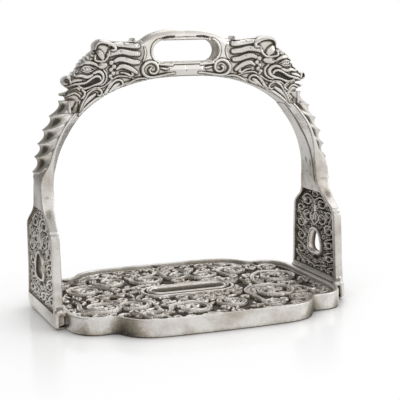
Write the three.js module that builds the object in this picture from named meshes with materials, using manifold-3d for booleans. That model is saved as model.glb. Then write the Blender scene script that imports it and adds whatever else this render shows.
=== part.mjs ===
import * as THREE from "three";
import { mergeVertices } from "three/addons/utils/BufferGeometryUtils.js";
import Module from "manifold-3d";

const wasm = await Module();
wasm.setup();

// Sizes in millimetres. X runs across the stirrup, Y along the rider's foot and Z up.
const gap = 0.3; // clearance between pieces that touch
const overrun = 1; // how far a cut runs past the face that it opens

// The arch that the rider's foot goes through, seen from the front
const archHalfWidth = 69;
const archCentreZ = 57.6;
const archRise = 57.1;
const archPower = 2.37;

// The arms: foot, flanged frame, shoulder, neck and finned strap
const footReach = 6;
const footThickness = 5.1;
const footHeight = 9;
const footHalfWidth = 25.3;
const footStep = 0.5;
const footCornerRadius = 3;
const shoulderZ = 44.7;
const shoulderHalfWidth = 22.6;
const neckZ = 54.1;
const neckHalfWidth = 10;
const neckReach = 6.5;
const collarRise = 0.4;
const collarHalfWidth = 7;
const armChamfer = 0.8;
const bandThickness = 4.3;
const spineRadiusShare = 1.0508;
const spineReach = 8.6;
const spineCentreRise = 8.4;
const spineFootZ = 70.3;
const finCount = 5;
const finDepth = 2.3;

// The pierced panel in each arm and the collar round its eye
const windowFootZ = 10.8;
const windowTopZ = 53;
const flangeWidth = 2.3;
const panelLedge = 0.9;
const panelRecess = 1.3;
const panelThickness = 1.7;
const panelBorder = 1;
const vineHalfWidth = 0.62;
const eyeCentreZ = 25.6;
const eyeHalfWidth = 6.2;
const eyeHalfHeight = 6.5;
const eyeEggShare = 0.16;
const eyeWall = 1.5;
const eyeLip = 0.9;
const eyeLipHeight = 0.7;

// The foot plate: lobed rim, ledge, pierced plate and the collar round its slot
const treadHalfDepth = 58.2;
const rimHeight = 8.2;
const rimThickness = 2.5;
const rimChamfer = 0.5;
const ledgeWidth = 3.2;
const ledgeTopZ = 4.6;
const ledgeThickness = 1.6;
const grilleThickness = 2.4;
const slotHalfLength = 18.5;
const slotHalfWidth = 4.6;
const slotWall = 1.5;
const slotLip = 1.9;
const slotLipHeight = 1;

// The keys in the feet, with the rivets and pins that lock them
const keyDepth = 3.7;
const keyHeight = 6;
const keyFlare = 0.6;
const keyFootZ = 1.2;
const keyEndSet = 0.8;
const keyRivetRadius = 1.1;
const keyRivetY = 14;
const keyRivetHeadRadius = 1.5;
const keyRivetHeadHeight = 0.8;
const lockPinRadius = 0.8;
const lockPinY = 21;
const lockPinBite = 1.8;
const grilleRivetRadius = 0.8;
const grilleRivetHeadRadius = 1.3;
const grilleRivetHeadHeight = 0.5;

// The crown: two bow halves, the strap loop over them and a dragon head on each side
const crownHalfDepth = 5.4;
const reliefDepth = 0.7;
const bowThickness = 3.3;
const loopHeight = 20;
const loopOuterX = 21.8;
const loopHalfDepth = 5.7;
const loopSlotHalfLength = 16.8;
const loopSlotHalfHeight = 5.15;
const loopSlotRise = 9.05;
const loopBevel = 1.1;
const clawDepth = 0.7;
const clawRadius = 3.4;
const clawX = 18;
const clawHalfWidth = 0.75;
const loopRivetRadius = 1.2;
const loopRivetX = 9;
const loopRivetBite = 2;
const headReachShare = 0.9;
const headBaseShare = 0.8126;
const headHeight = 30;
const headHalfDepth = 5.2;
const lipHalfWidth = 0.7;
const lockHalfWidth = 1.35;
const tongueHalfDepth = 2.2;
const crownPinRadius = 0.9;
const crownPinSet = 0.4;

// Places that follow from the sizes above
const footOuterX = archHalfWidth + footReach;
const neckOuterX = archHalfWidth + neckReach;
const spineReachX = archHalfWidth + spineReach;
const spineRadius = archRise * spineRadiusShare;
const spineCentreZ = archCentreZ + spineCentreRise;
const headFootX = loopOuterX + gap;
const headLength = archHalfWidth * headReachShare - headFootX;
const headBaseZ = archCentreZ + archRise * headBaseShare;
const collarZ = headBaseZ + collarRise;
const bowTopZ = archCentreZ + archRise + bowThickness;
const loopTopZ = bowTopZ + loopHeight;
const loopSlotCentreZ = bowTopZ + loopSlotRise;
const legInnerX = footOuterX - footThickness + footStep;
const legOuterX = footOuterX - footStep;
const treadEndX = footOuterX - footThickness - gap;
const grilleTopZ = ledgeTopZ + gap + grilleThickness;
const rodSides = 8;
const finPitch = (collarZ - spineFootZ) / finCount;
const rivetZ = ledgeTopZ - keyRivetHeadRadius;

// How curves are drawn: volutes, ribbons and the slits of the pierced plate
const voluteEyeShare = 0.42;
const voluteKnobShare = 1.35;
const ribbonEndShare = 0.75;
const sharpestCornerShare = 0.5;
const vineSteps = 7;
const tailSteps = 2;
const eyeSteps = 16;
const voluteSteps = 10;
const slitHalfWidth = 1.05;
const slitBellyShare = 0.4;
const roundSteps = 8;
const knobSides = 6;

// Solids and meshes

function facingOut(geometry) {
  const position = geometry.getAttribute("position");
  const index = geometry.getIndex();
  const corner = [new THREE.Vector3(), new THREE.Vector3(), new THREE.Vector3()];
  let volume = 0;
  for (let i = 0; i < index.count; i += 3) {
    corner.forEach((c, k) => c.fromBufferAttribute(position, index.getX(i + k)));
    volume += corner[0].dot(corner[1].cross(corner[2]));
  }
  if (volume < 0) {
    for (let i = 0; i < index.count; i += 3) {
      const first = index.getX(i);
      index.setX(i, index.getX(i + 2));
      index.setX(i + 2, first);
    }
  }
  return geometry;
}

function solid(geometry) {
  const bare = geometry.clone();
  bare.deleteAttribute("normal");
  bare.deleteAttribute("uv");
  const merged = facingOut(mergeVertices(bare));
  return new wasm.Manifold(new wasm.Mesh({
    numProp: 3,
    vertProperties: new Float32Array(merged.getAttribute("position").array),
    triVerts: new Uint32Array(merged.getIndex().array),
  }));
}

function geometryOf(body) {
  const mesh = body.getMesh();
  const geometry = new THREE.BufferGeometry();
  geometry.setAttribute("position", new THREE.BufferAttribute(new Float32Array(mesh.vertProperties), 3));
  geometry.setIndex(new THREE.BufferAttribute(new Uint32Array(mesh.triVerts), 1));
  return geometry;
}

function joined(solids) {
  return solids.reduce((whole, next) => whole.add(next));
}

// The same solid on the other side of the middle plane of one axis
function mirrored(body, axis) {
  const geometry = geometryOf(body);
  const sign = new THREE.Vector3(1, 1, 1).setComponent(axis, -1);
  return solid(geometry.scale(sign.x, sign.y, sign.z));
}

// Prisms: an outline in one plane, carried from one height to another along the third axis

function prism(outline, from, to) {
  const geometry = new THREE.ExtrudeGeometry(new THREE.Shape(outline), {
    depth: to - from,
    bevelEnabled: false,
  });
  return geometry.translate(0, 0, from);
}

function flatPlate(outline, from, to) {
  return solid(prism(outline, from, to));
}

// An outline in X and Z, as deep on one side of the middle plane as on the other
function frontPlate(outline, halfDepth) {
  const upright = new THREE.Matrix4().makeBasis(
    new THREE.Vector3(1, 0, 0), new THREE.Vector3(0, 0, 1), new THREE.Vector3(0, -1, 0));
  return solid(prism(outline, -halfDepth, halfDepth).applyMatrix4(upright));
}

// An outline in Y and Z, carried along X
function sidePlate(outline, from, to) {
  const sideways = new THREE.Matrix4().makeBasis(
    new THREE.Vector3(0, 1, 0), new THREE.Vector3(0, 0, 1), new THREE.Vector3(1, 0, 0));
  return solid(prism(outline, from, to).applyMatrix4(sideways));
}

// A round rod along Z, or along the axis that it is turned to
function rod(radius, from, to, sides = rodSides) {
  const geometry = new THREE.CylinderGeometry(radius, radius, to - from, sides);
  return solid(geometry.rotateX(Math.PI / 2).translate(0, 0, (from + to) / 2));
}

function rodAlongX(radius, from, to, y, z) {
  return solid(geometryOf(rod(radius, from, to)).rotateY(Math.PI / 2).translate(0, y, z));
}

function rodAlongY(radius, halfLength, x, z) {
  return solid(geometryOf(rod(radius, -halfLength, halfLength)).rotateX(Math.PI / 2).translate(x, 0, z));
}

// A solid whose sections are rings of as many corners, one after another
function loft(rings) {
  const count = rings[0].length;
  const index = [];
  for (let ring = 0; ring + 1 < rings.length; ring++) {
    for (let i = 0; i < count; i++) {
      const here = ring * count + i;
      const next = ring * count + (i + 1) % count;
      index.push(here, next, next + count, here, next + count, here + count);
    }
  }
  const last = (rings.length - 1) * count;
  for (let i = 1; i + 1 < count; i++) {
    index.push(0, i + 1, i, last, last + i, last + i + 1);
  }
  return solidOf(rings.flat(), index);
}

// A closed band: a section of inset and height pairs that runs round a flat outline
function bandRound(outline, section) {
  const count = outline.length;
  const index = [];
  section.forEach((unused, ring) => {
    const above = (ring + 1) % section.length;
    for (let i = 0; i < count; i++) {
      const next = (i + 1) % count;
      index.push(ring * count + i, ring * count + next, above * count + next);
      index.push(ring * count + i, above * count + next, above * count + i);
    }
  });
  const corners = section.flatMap(([inset, height]) =>
    insetOutline(outline, inset).map((p) => new THREE.Vector3(p.x, p.y, height)));
  return solidOf(corners, index);
}

function solidOf(corners, index) {
  const geometry = new THREE.BufferGeometry().setFromPoints(corners);
  geometry.setIndex(index);
  return solid(geometry);
}

// Outlines

function vectors(pairs) {
  return pairs.map(([a, b]) => new THREE.Vector2(a, b));
}

function insetOutline(points, distance) {
  return points.map((point, i) => {
    const before = points[(i + points.length - 1) % points.length];
    const after = points[(i + 1) % points.length];
    const arriving = point.clone().sub(before).normalize();
    const leaving = after.clone().sub(point).normalize();
    const inward = new THREE.Vector2(-arriving.y - leaving.y, arriving.x + leaving.x).normalize();
    const across = inward.dot(new THREE.Vector2(-arriving.y, arriving.x));
    return point.clone().addScaledVector(inward, distance / Math.max(across, sharpestCornerShare));
  });
}

// A flat ribbon along a line, which narrows from the first width to the last
function ribbon(line, halfWidth, lastShare = ribbonEndShare) {
  const sides = line.map((point, i) => {
    const before = line[Math.max(i - 1, 0)];
    const after = line[Math.min(i + 1, line.length - 1)];
    const along = after.clone().sub(before).normalize();
    const width = THREE.MathUtils.lerp(1, lastShare, i / (line.length - 1)) * halfWidth;
    const across = new THREE.Vector2(-along.y, along.x).multiplyScalar(width);
    return [point.clone().add(across), point.clone().sub(across)];
  });
  return [...sides.map((side) => side[1]), ...sides.map((side) => side[0]).reverse()];
}

function smoothLine(points, steps) {
  return new THREE.SplineCurve(points).getPoints(steps);
}

// A volute: a tail that swings into a spiral, which winds in from its radius to its eye.
// The start is the angle, in turns, where the tail meets the spiral. A turn below zero is clockwise.
function voluteLine(centre, radius, start, turns, tail, spiralSteps) {
  const eyeRadius = radius * voluteEyeShare;
  const spiral = [];
  for (let i = 0; i <= spiralSteps; i++) {
    const share = i / spiralSteps;
    const angle = (start + turns * share) * 2 * Math.PI;
    const reach = THREE.MathUtils.lerp(radius, eyeRadius, Math.sqrt(share) * share);
    spiral.push(new THREE.Vector2(Math.cos(angle), Math.sin(angle)).multiplyScalar(reach).add(centre));
  }
  const begin = spiral[0];
  const spin = Math.sign(turns);
  const heading = start * 2 * Math.PI;
  const backward = new THREE.Vector2(Math.sin(heading), -Math.cos(heading)).multiplyScalar(spin);
  const control = begin.clone().addScaledVector(backward, begin.distanceTo(tail) / 2);
  const lead = new THREE.QuadraticBezierCurve(tail, control, begin).getPoints(tailSteps);
  return [...lead.slice(0, -1), ...spiral];
}

function disc(centre, radius, sides = knobSides) {
  const points = [];
  for (let i = 0; i < sides; i++) {
    const angle = (i / sides) * 2 * Math.PI;
    points.push(new THREE.Vector2(Math.cos(angle), Math.sin(angle)).multiplyScalar(radius).add(centre));
  }
  return points;
}

function stadium(halfLength, halfWidth) {
  const points = [];
  const straight = halfLength - halfWidth;
  for (const side of [1, -1]) {
    for (let i = 0; i <= roundSteps; i++) {
      const angle = (i / roundSteps - 1 / 2) * Math.PI;
      points.push(new THREE.Vector2(
        side * (straight + halfWidth * Math.cos(angle)), side * halfWidth * Math.sin(angle)));
    }
  }
  return points;
}

// The arch and the arm's edges as functions of height

function archInnerX(z) {
  const rise = Math.max(z - archCentreZ, 0) / archRise;
  return archHalfWidth * Math.pow(1 - Math.pow(rise, archPower), 1 / archPower);
}

function archInnerZ(x) {
  return archCentreZ + archRise * Math.pow(1 - Math.pow(x / archHalfWidth, archPower), 1 / archPower);
}

function archLean(z) {
  const x = archInnerX(z);
  const acrossPart = Math.pow(x / archHalfWidth, archPower - 1) / archHalfWidth;
  const upPart = Math.pow(Math.max(z - archCentreZ, 0) / archRise, archPower - 1) / archRise;
  return acrossPart / Math.hypot(acrossPart, upPart);
}

function spineX(z) {
  return spineReachX - spineRadius + Math.sqrt(spineRadius ** 2 - (z - spineCentreZ) ** 2);
}

// Height share and width share of the shoulder, from its crease to the neck
const shoulderShares = [[0, 1], [0.2, 0.73], [0.45, 0.42], [0.72, 0.16], [1, 0]];

function alongTable(table, share) {
  const next = Math.max(table.findIndex(([at]) => at >= share), 1);
  const [fromAt, fromValue] = table[next - 1];
  const [toAt, toValue] = table[next];
  return THREE.MathUtils.mapLinear(share, fromAt, toAt, fromValue, toValue);
}

function armHalfWidth(z) {
  if (z <= shoulderZ) {
    return THREE.MathUtils.mapLinear(z, footHeight, shoulderZ, footHalfWidth - footStep, shoulderHalfWidth);
  }
  if (z <= neckZ) {
    const share = alongTable(shoulderShares, (z - shoulderZ) / (neckZ - shoulderZ));
    return THREE.MathUtils.lerp(neckHalfWidth, shoulderHalfWidth, share);
  }
  return THREE.MathUtils.mapLinear(z, neckZ, collarZ, neckHalfWidth, collarHalfWidth);
}

// One level section of an arm. The ridge stands out between the two edges of the outer band.
function armSection(z, halfWidth, innerX, bandX, ridgeX) {
  const ridgeFootShare = 0.62;
  const ridgeSlopeShare = 0.42;
  const slopeX = THREE.MathUtils.lerp(bandX, ridgeX, ridgeSlopeShare);
  const edge = halfWidth - armChamfer;
  return [
    [innerX + armChamfer, -halfWidth], [bandX - armChamfer, -halfWidth], [bandX, -edge],
    [slopeX, -halfWidth * ridgeFootShare], [ridgeX, 0], [slopeX, halfWidth * ridgeFootShare],
    [bandX, edge], [bandX - armChamfer, halfWidth], [innerX + armChamfer, halfWidth],
    [innerX, edge], [innerX, -edge],
  ].map(([x, y]) => new THREE.Vector3(x, y, z));
}

function armBody() {
  const footInnerX = footOuterX - footThickness;
  const sections = [];
  const plain = (z, halfWidth, innerX, outerX) =>
    sections.push(armSection(z, halfWidth, innerX, outerX, outerX));
  const cornerSteps = 3;
  for (let i = 0; i <= cornerSteps; i++) {
    const angle = (i / cornerSteps) * Math.PI / 2;
    const cut = footCornerRadius * (1 - Math.sin(angle));
    plain(footCornerRadius * (1 - Math.cos(angle)), footHalfWidth - cut, footInnerX, footOuterX);
  }
  plain(footHeight - footStep, footHalfWidth, footInnerX, footOuterX);
  plain(footHeight, armHalfWidth(footHeight), legInnerX, legOuterX);
  for (const [share] of shoulderShares) {
    const z = THREE.MathUtils.lerp(shoulderZ, neckZ, share);
    const inner = THREE.MathUtils.lerp(legInnerX, archInnerX(neckZ), share);
    plain(z, armHalfWidth(z), inner, THREE.MathUtils.lerp(legOuterX, neckOuterX, share));
  }
  const leafZ = (neckZ + spineFootZ) / 2;
  sections.push(armSection(leafZ, armHalfWidth(leafZ), archInnerX(leafZ),
    archInnerX(leafZ) + bandThickness / archLean(leafZ), neckOuterX));
  const valleyShare = 0.24;
  for (let fin = 0; fin <= finCount; fin++) {
    const tipZ = spineFootZ + fin * finPitch;
    const valleyZ = tipZ - valleyShare * finPitch;
    for (const [z, depth] of [[valleyZ, finDepth], [tipZ, 0]]) {
      sections.push(armSection(z, armHalfWidth(z), archInnerX(z),
        archInnerX(z) + bandThickness / archLean(z), spineX(z) - depth));
    }
  }
  return loft(sections);
}

// The pierced panel's window, drawn in by some width from the arm's own edge
function windowOutline(inset) {
  const half = [[armHalfWidth(windowFootZ) - inset, windowFootZ + inset - flangeWidth]];
  for (const [share] of shoulderShares) {
    const z = THREE.MathUtils.lerp(shoulderZ, neckZ, share);
    if (z < windowTopZ) {
      half.push([armHalfWidth(z) - inset, z]);
    }
  }
  const topZ = windowTopZ - (inset - flangeWidth);
  half[half.length - 1][1] = Math.min(half[half.length - 1][1], topZ);
  half.push([armHalfWidth(windowTopZ) - inset, topZ]);
  const other = half.map(([y, z]) => [-y, z]).reverse();
  return vectors([...half, ...other]);
}

function eggOutline(halfWidth, halfHeight) {
  const points = [];
  for (let i = 0; i < eyeSteps; i++) {
    const angle = (i / eyeSteps) * 2 * Math.PI;
    const width = halfWidth * (1 - eyeEggShare * Math.sin(angle));
    points.push(new THREE.Vector2(width * Math.cos(angle), eyeCentreZ + halfHeight * Math.sin(angle)));
  }
  return points;
}

function keyOutline(grow) {
  const faceX = footOuterX - footThickness;
  const topZ = keyFootZ + keyHeight;
  return vectors([
    [faceX - (grow > 0 ? overrun : 0), keyFootZ + keyFlare - grow],
    [faceX + keyDepth + grow, keyFootZ - grow],
    [faceX + keyDepth + grow, topZ + grow],
    [faceX - (grow > 0 ? overrun : 0), topZ - keyFlare + grow],
  ]);
}

// Crown outlines, as shares of the head's length and height

function onHead(shares) {
  return shares.map(([along, up]) =>
    new THREE.Vector2(headFootX + along * headLength, headBaseZ + up * headHeight));
}

const jawLineShares = [[0.76, 0.08], [0.715, 0.187], [0.625, 0.235], [0.533, 0.228], [0.425, 0.308],
  [0.39, 0.36], [0.275, 0.403], [0.15, 0.418], [0, 0.45]];
const browLineShares = [[0, 0.9], [0.15, 0.935], [0.35, 0.93], [0.46, 0.95], [0.557, 0.925],
  [0.615, 0.835], [0.748, 0.693], [0.815, 0.547], [0.885, 0.487], [0.935, 0.407], [0.985, 0.367],
  [0.99, 0.3], [0.95, 0.255]];
const mouthLineShares = [[0.873, 0.287], [0.765, 0.3], [0.67, 0.377], [0.6, 0.407], [0.575, 0.367],
  [0.638, 0.297], [0.758, 0.233], [0.848, 0.25], [0.8, 0.18]];
const bowEndShares = [[0.81, -0.055], [0.825, -0.15]];
const tongueShares = [[0.76, -0.02], [0.93, -0.06], [0.93, -0.2], [0.8, -0.2]];
const tenonShares = [[0.86, -0.1], [0.99, -0.1], [0.93, 0.19], [0.86, 0.38], [0.72, 0.47], [0.7, 0.36],
  [0.8, 0.24]];
const lugShares = [[0.4, 0.2], [0.62, 0.2], [0.63, 0.6], [0.47, 0.66], [0.42, 0.5]];
const headPinShares = [[0.56, 0.572]];
const neckRivetShares = [[0.87, -0.1]];

function bowOutline() {
  const topZ = bowTopZ - gap / 2;
  const under = insetOutline(onHead([...jawLineShares].reverse()), gap);
  const end = onHead(bowEndShares);
  const tail = end[end.length - 1];
  const archSteps = 12;
  const lower = [];
  const footX = archInnerX(tail.y) - footStep;
  for (let i = 0; i <= archSteps; i++) {
    const x = THREE.MathUtils.lerp(footX, gap / 2, i / archSteps);
    lower.push(new THREE.Vector2(x, archInnerZ(x)));
  }
  return [new THREE.Vector2(gap / 2, topZ), new THREE.Vector2(loopOuterX, topZ), ...under, ...end,
    ...lower].reverse();
}

function crownWedge(extra) {
  const deep = crownHalfDepth + extra;
  const arm = collarHalfWidth + extra;
  const points = vectors([[0, -deep], [headFootX, -deep], [spineReachX, -arm], [spineReachX, arm],
    [headFootX, deep], [0, deep]]);
  return flatPlate(points, neckZ, loopTopZ);
}

// Scrolls carved on the bow, from tail to curl
const bowScrollShares = [
  [[0.82, -0.13], [0.765, 0.02], [0.71, 0.125], [0.66, 0.18], [0.6, 0.19], [0.555, 0.16],
    [0.555, 0.12], [0.6, 0.11]],
  [[0.5, 0.1], [0.41, 0.19], [0.37, 0.29], [0.315, 0.325], [0.27, 0.29], [0.285, 0.24]],
  [[0.27, 0.235], [0.18, 0.29], [0.09, 0.31]],
];

function bowHalf() {
  const scrolls = bowScrollShares.map((shares) =>
    frontPlate(ribbon(smoothLine(onHead(shares), shares.length), lipHalfWidth),
      collarHalfWidth + reliefDepth));
  const relief = joined(scrolls).intersect(frontPlate(bowOutline(), collarHalfWidth + reliefDepth));
  const body = frontPlate(bowOutline(), collarHalfWidth + overrun).intersect(crownWedge(0));
  const lug = frontPlate(onHead(lugShares), tongueHalfDepth);
  const tongue = frontPlate(onHead(tongueShares), tongueHalfDepth);
  const rivetHole = rod(loopRivetRadius + gap, bowTopZ - loopRivetBite, bowTopZ + overrun)
    .translate([loopRivetX, 0, 0]);
  const [pin] = onHead(headPinShares);
  const [rivet] = onHead(neckRivetShares);
  const holeRadius = crownPinRadius + gap;
  return joined([body, relief.intersect(crownWedge(reliefDepth)), lug, tongue])
    .subtract(rivetHole)
    .subtract(rodAlongY(holeRadius, crownHalfDepth, pin.x, pin.y))
    .subtract(rodAlongY(holeRadius, crownHalfDepth, rivet.x, rivet.y));
}

function arm() {
  const reach = footHalfWidth + overrun;
  const recess = sidePlate(windowOutline(flangeWidth), archHalfWidth - overrun,
    legInnerX + panelRecess + panelThickness + gap);
  const through = sidePlate(windowOutline(flangeWidth + panelLedge), legInnerX, footOuterX + overrun);
  const channel = frontPlate(keyOutline(gap), reach);
  const pinHole = rod(lockPinRadius + gap, keyFootZ + keyHeight / 2, footHeight + overrun)
    .translate([footOuterX - footThickness / 2, -lockPinY, 0]);
  const [rivet] = onHead(neckRivetShares);
  const clearance = insetOutline(bowOutline(), -gap);
  const tenon = frontPlate(onHead(tenonShares), tongueHalfDepth);
  return armBody()
    .subtract(recess)
    .subtract(through)
    .subtract(channel)
    .subtract(pinHole)
    .subtract(frontPlate(clearance, reach))
    .add(tenon)
    .subtract(frontPlate(insetOutline(onHead(tongueShares), gap), tongueHalfDepth + gap))
    .subtract(rodAlongY(crownPinRadius + gap, collarHalfWidth + overrun, rivet.x, rivet.y));
}

// Vines of the side panel, for the half behind the middle plane: centre, radius, start and turns
// of each volute, then where its tail ends. Places are shares of the panel's half width and height.
const vineShares = [
  { at: [0.31, 0.82], radius: 0.118, start: 0.5, turns: -1.15, tail: [-0.02, 0.62] },
  { at: [0.49, 0.62], radius: 0.09, start: 0.3, turns: -1.1, tail: [0.06, 0.66] },
  { at: [0.8, 0.76], radius: 0.07, start: 0.45, turns: -1, tail: [0.62, 0.6] },
  { at: [0.7, 0.5], radius: 0.068, start: 0.25, turns: -1, tail: [0.42, 0.55] },
  { at: [0.72, 0.36], radius: 0.065, start: 0.25, turns: 1, tail: [0.92, 0.5] },
  { at: [0.7, 0.23], radius: 0.065, start: 0.25, turns: 1, tail: [0.9, 0.36] },
  { at: [0.86, 0.11], radius: 0.062, start: 0.25, turns: 1, tail: [0.98, 0.27] },
  { at: [0.48, 0.09], radius: 0.066, start: 0.25, turns: 1, tail: [0.7, 0.16] },
  { at: [0.17, 0.085], radius: 0.062, start: 0.25, turns: 1, tail: [0.42, 0.15] },
];

function vinePanel() {
  const halfWidth = Math.max(armHalfWidth(windowFootZ), shoulderHalfWidth) - flangeWidth;
  const height = windowTopZ - windowFootZ;
  const from = legInnerX + panelRecess;
  const to = from + panelThickness;
  const place = ([across, up]) => new THREE.Vector2(across * halfWidth, windowFootZ + up * height);
  const vines = vineShares.map(({ at, radius, start, turns, tail }) =>
    ribbon(voluteLine(place(at), radius * height, start, turns, place(tail), vineSteps), vineHalfWidth, 1))
    .map((outline) => sidePlate(outline, from, to));
  const half = joined(vines);
  const outline = windowOutline(flangeWidth + gap);
  const border = sidePlate(outline, from, to)
    .subtract(sidePlate(insetOutline(outline, panelLedge + panelBorder), from - overrun, to + overrun));
  const seatWidth = eyeHalfWidth + eyeWall + gap;
  const seatHeight = eyeHalfHeight + eyeWall + gap;
  const seat = sidePlate(eggOutline(seatWidth + panelBorder, seatHeight + panelBorder), from, to);
  const hole = sidePlate(eggOutline(seatWidth, seatHeight), from - overrun, to + overrun);
  return joined([half, mirrored(half, 1), seat])
    .intersect(sidePlate(outline, from, to))
    .add(border)
    .subtract(hole);
}

// The eye's collar: a tube through panel and arm, with a lip on the panel's inner face
function eyeRing() {
  const faceX = legInnerX + panelRecess;
  const tubeOut = eggOutline(eyeHalfWidth + eyeWall, eyeHalfHeight + eyeWall);
  const lipOut = eggOutline(eyeHalfWidth + eyeWall + eyeLip, eyeHalfHeight + eyeWall + eyeLip);
  const bore = eggOutline(eyeHalfWidth, eyeHalfHeight);
  return sidePlate(tubeOut, faceX - gap - eyeLipHeight, legOuterX)
    .add(sidePlate(lipOut, faceX - gap - eyeLipHeight, faceX - gap))
    .subtract(sidePlate(bore, faceX - gap - eyeLipHeight - overrun, legOuterX + overrun));
}

// The tread's plan, one quarter, as shares of its half length and half depth
const treadShares = {
  endFlat: [1, 0.387],
  endLobe: [[1, 0.619], [0.934, 0.749], [0.783, 0.739]],
  cusp: [[0.717, 0.732], [0.69, 0.797]],
  sideLobe: [[0.64, 0.914], [0.568, 0.979], [0.388, 0.988]],
  side: [[0.194, 1], [0, 1]],
};

function treadOutline() {
  const at = ([along, across]) => [along * treadEndX, across * treadHalfDepth];
  const pieces = [
    [new THREE.LineCurve(...vectors([at([1, 0]), at(treadShares.endFlat)])), 1],
    [new THREE.CubicBezierCurve(...vectors([treadShares.endFlat, ...treadShares.endLobe].map(at))), 5],
    [new THREE.QuadraticBezierCurve(
      ...vectors([treadShares.endLobe[2], ...treadShares.cusp].map(at))), 2],
    [new THREE.CubicBezierCurve(
      ...vectors([treadShares.cusp[1], ...treadShares.sideLobe].map(at))), 5],
    [new THREE.QuadraticBezierCurve(
      ...vectors([treadShares.sideLobe[2], ...treadShares.side].map(at))), 2],
  ];
  const quarter = pieces.flatMap(([curve, steps]) => curve.getPoints(steps).slice(1));
  const flip = (points, x, y) => points.map((p) => new THREE.Vector2(p.x * x, p.y * y));
  const back = [...quarter].reverse().slice(1);
  return [...quarter, ...flip(back, -1, 1), ...flip(quarter, -1, -1), ...flip(back, 1, -1)];
}

function keyRivetPlaces() {
  return [-keyRivetY, keyRivetY];
}

function treadRim() {
  const inner = rimThickness + ledgeWidth;
  const ledgeFootZ = ledgeTopZ - ledgeThickness;
  const band = bandRound(treadOutline(), [
    [rimChamfer, 0], [0, rimChamfer], [0, rimHeight - rimChamfer], [rimChamfer, rimHeight],
    [rimThickness, rimHeight], [rimThickness, ledgeTopZ], [inner, ledgeTopZ], [inner, ledgeFootZ],
    [rimThickness, 0],
  ]);
  const holes = [1, -1].flatMap((side) => keyRivetPlaces().map((y) =>
    rodAlongX(keyRivetRadius + gap, treadEndX - inner - overrun, treadEndX + overrun, y, rivetZ)
      .scale([side, 1, 1])));
  const heads = [1, -1].flatMap((side) => keyRivetPlaces().map((y) =>
    rodAlongX(keyRivetHeadRadius + gap, treadEndX - inner - overrun, treadEndX - rimThickness, y, rivetZ)
      .scale([side, 1, 1])));
  const plateHoles = grilleRivetPlaces().map(([x, y]) =>
    rod(grilleRivetRadius + gap, 0, rimHeight).translate([x, y, 0]));
  return [...holes, ...heads, ...plateHoles].reduce((rim, cut) => rim.subtract(cut), band);
}

// Where the plate's rivets go through the ledge: at the middle of both sides and in the end lobes
const grilleRivetShares = [[0, 1], [0.78, 0.74]];

function grilleRivetPlaces() {
  const set = rimThickness + gap + grilleRivetHeadRadius + gap;
  const [[, sideY], [lobeX, lobeY]] = grilleRivetShares;
  const side = sideY * treadHalfDepth - set;
  const lobe = [lobeX * treadEndX, lobeY * treadHalfDepth - set];
  return [[0, -side], [0, side], [-lobe[0], -lobe[1]], [lobe[0], -lobe[1]], [-lobe[0], lobe[1]],
    [lobe[0], lobe[1]]];
}

// Openings pierced in the foot plate's quarter, as shares of its half length and half depth. They
// follow the hollows of the scrolls: volutes first, then leaves along the lines between them.
const treadVoluteShares = [
  { at: [0.67, 0.33], radius: 0.2, start: 0.5, turns: -1.35, tail: [0.47, 0.05], width: 1.15 },
  { at: [0.44, 0.68], radius: 0.14, start: 0, turns: 1.3, tail: [0.52, 0.42], width: 1 },
  { at: [0.18, 0.55], radius: 0.13, start: 0.5, turns: -1.3, tail: [0.07, 0.29], width: 1 },
  { at: [0.78, 0.62], radius: 0.08, start: 0.9, turns: 1.1, tail: [0.72, 0.53], width: 0.8 },
  { at: [0.14, 0.82], radius: 0.085, start: 0.25, turns: 1.15, tail: [0.28, 0.92], width: 0.8 },
];
const treadLeafShares = [
  { width: 1.4, line: [[0.02, 0.25], [0.08, 0.225], [0.15, 0.235], [0.2, 0.265]] },
  { width: 1.3, line: [[0.24, 0.26], [0.31, 0.225], [0.35, 0.16], [0.36, 0.08]] },
  { width: 1.5, line: [[0.41, 0.04], [0.425, 0.15], [0.4, 0.27], [0.33, 0.35]] },
  { width: 1.5, line: [[0.26, 0.33], [0.325, 0.42], [0.33, 0.52], [0.29, 0.6]] },
  { width: 1.2, line: [[0.4, 0.36], [0.425, 0.42], [0.43, 0.49]] },
  { width: 1.4, line: [[0.02, 0.38], [0.035, 0.5], [0.02, 0.62]] },
  { width: 1.4, line: [[0.02, 0.67], [0.04, 0.74], [0.03, 0.84]] },
  { width: 1.5, line: [[0.27, 0.7], [0.25, 0.76], [0.29, 0.83]] },
  { width: 1.5, line: [[0.33, 0.87], [0.41, 0.89], [0.49, 0.87], [0.56, 0.8]] },
  { width: 1.3, line: [[0.6, 0.6], [0.62, 0.68], [0.6, 0.76]] },
  { width: 1.5, line: [[0.87, 0.05], [0.905, 0.13], [0.9, 0.25], [0.86, 0.33]] },
  { width: 1.5, line: [[0.53, 0.02], [0.63, 0.055], [0.73, 0.03], [0.81, 0.09]] },
  { width: 1.3, line: [[0.91, 0.36], [0.925, 0.46], [0.9, 0.58]] },
  { width: 1.2, line: [[0.62, 0.3], [0.67, 0.38], [0.72, 0.33]] },
];

// An opening along a line, pointed at both ends, with its belly nearer to one of them
function slit(line, halfWidth) {
  const last = line.length - 1;
  const offsets = line.map((point, i) => {
    const share = i / last;
    const bend = share < slitBellyShare ? share / slitBellyShare : (1 - share) / (1 - slitBellyShare);
    const along = line[Math.min(i + 1, last)].clone().sub(line[Math.max(i - 1, 0)]).normalize();
    return new THREE.Vector2(-along.y, along.x).multiplyScalar(halfWidth * Math.sqrt(bend));
  });
  const right = line.map((point, i) => point.clone().sub(offsets[i]));
  const left = line.map((point, i) => point.clone().add(offsets[i])).slice(1, -1).reverse();
  return [...right, ...left];
}

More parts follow.
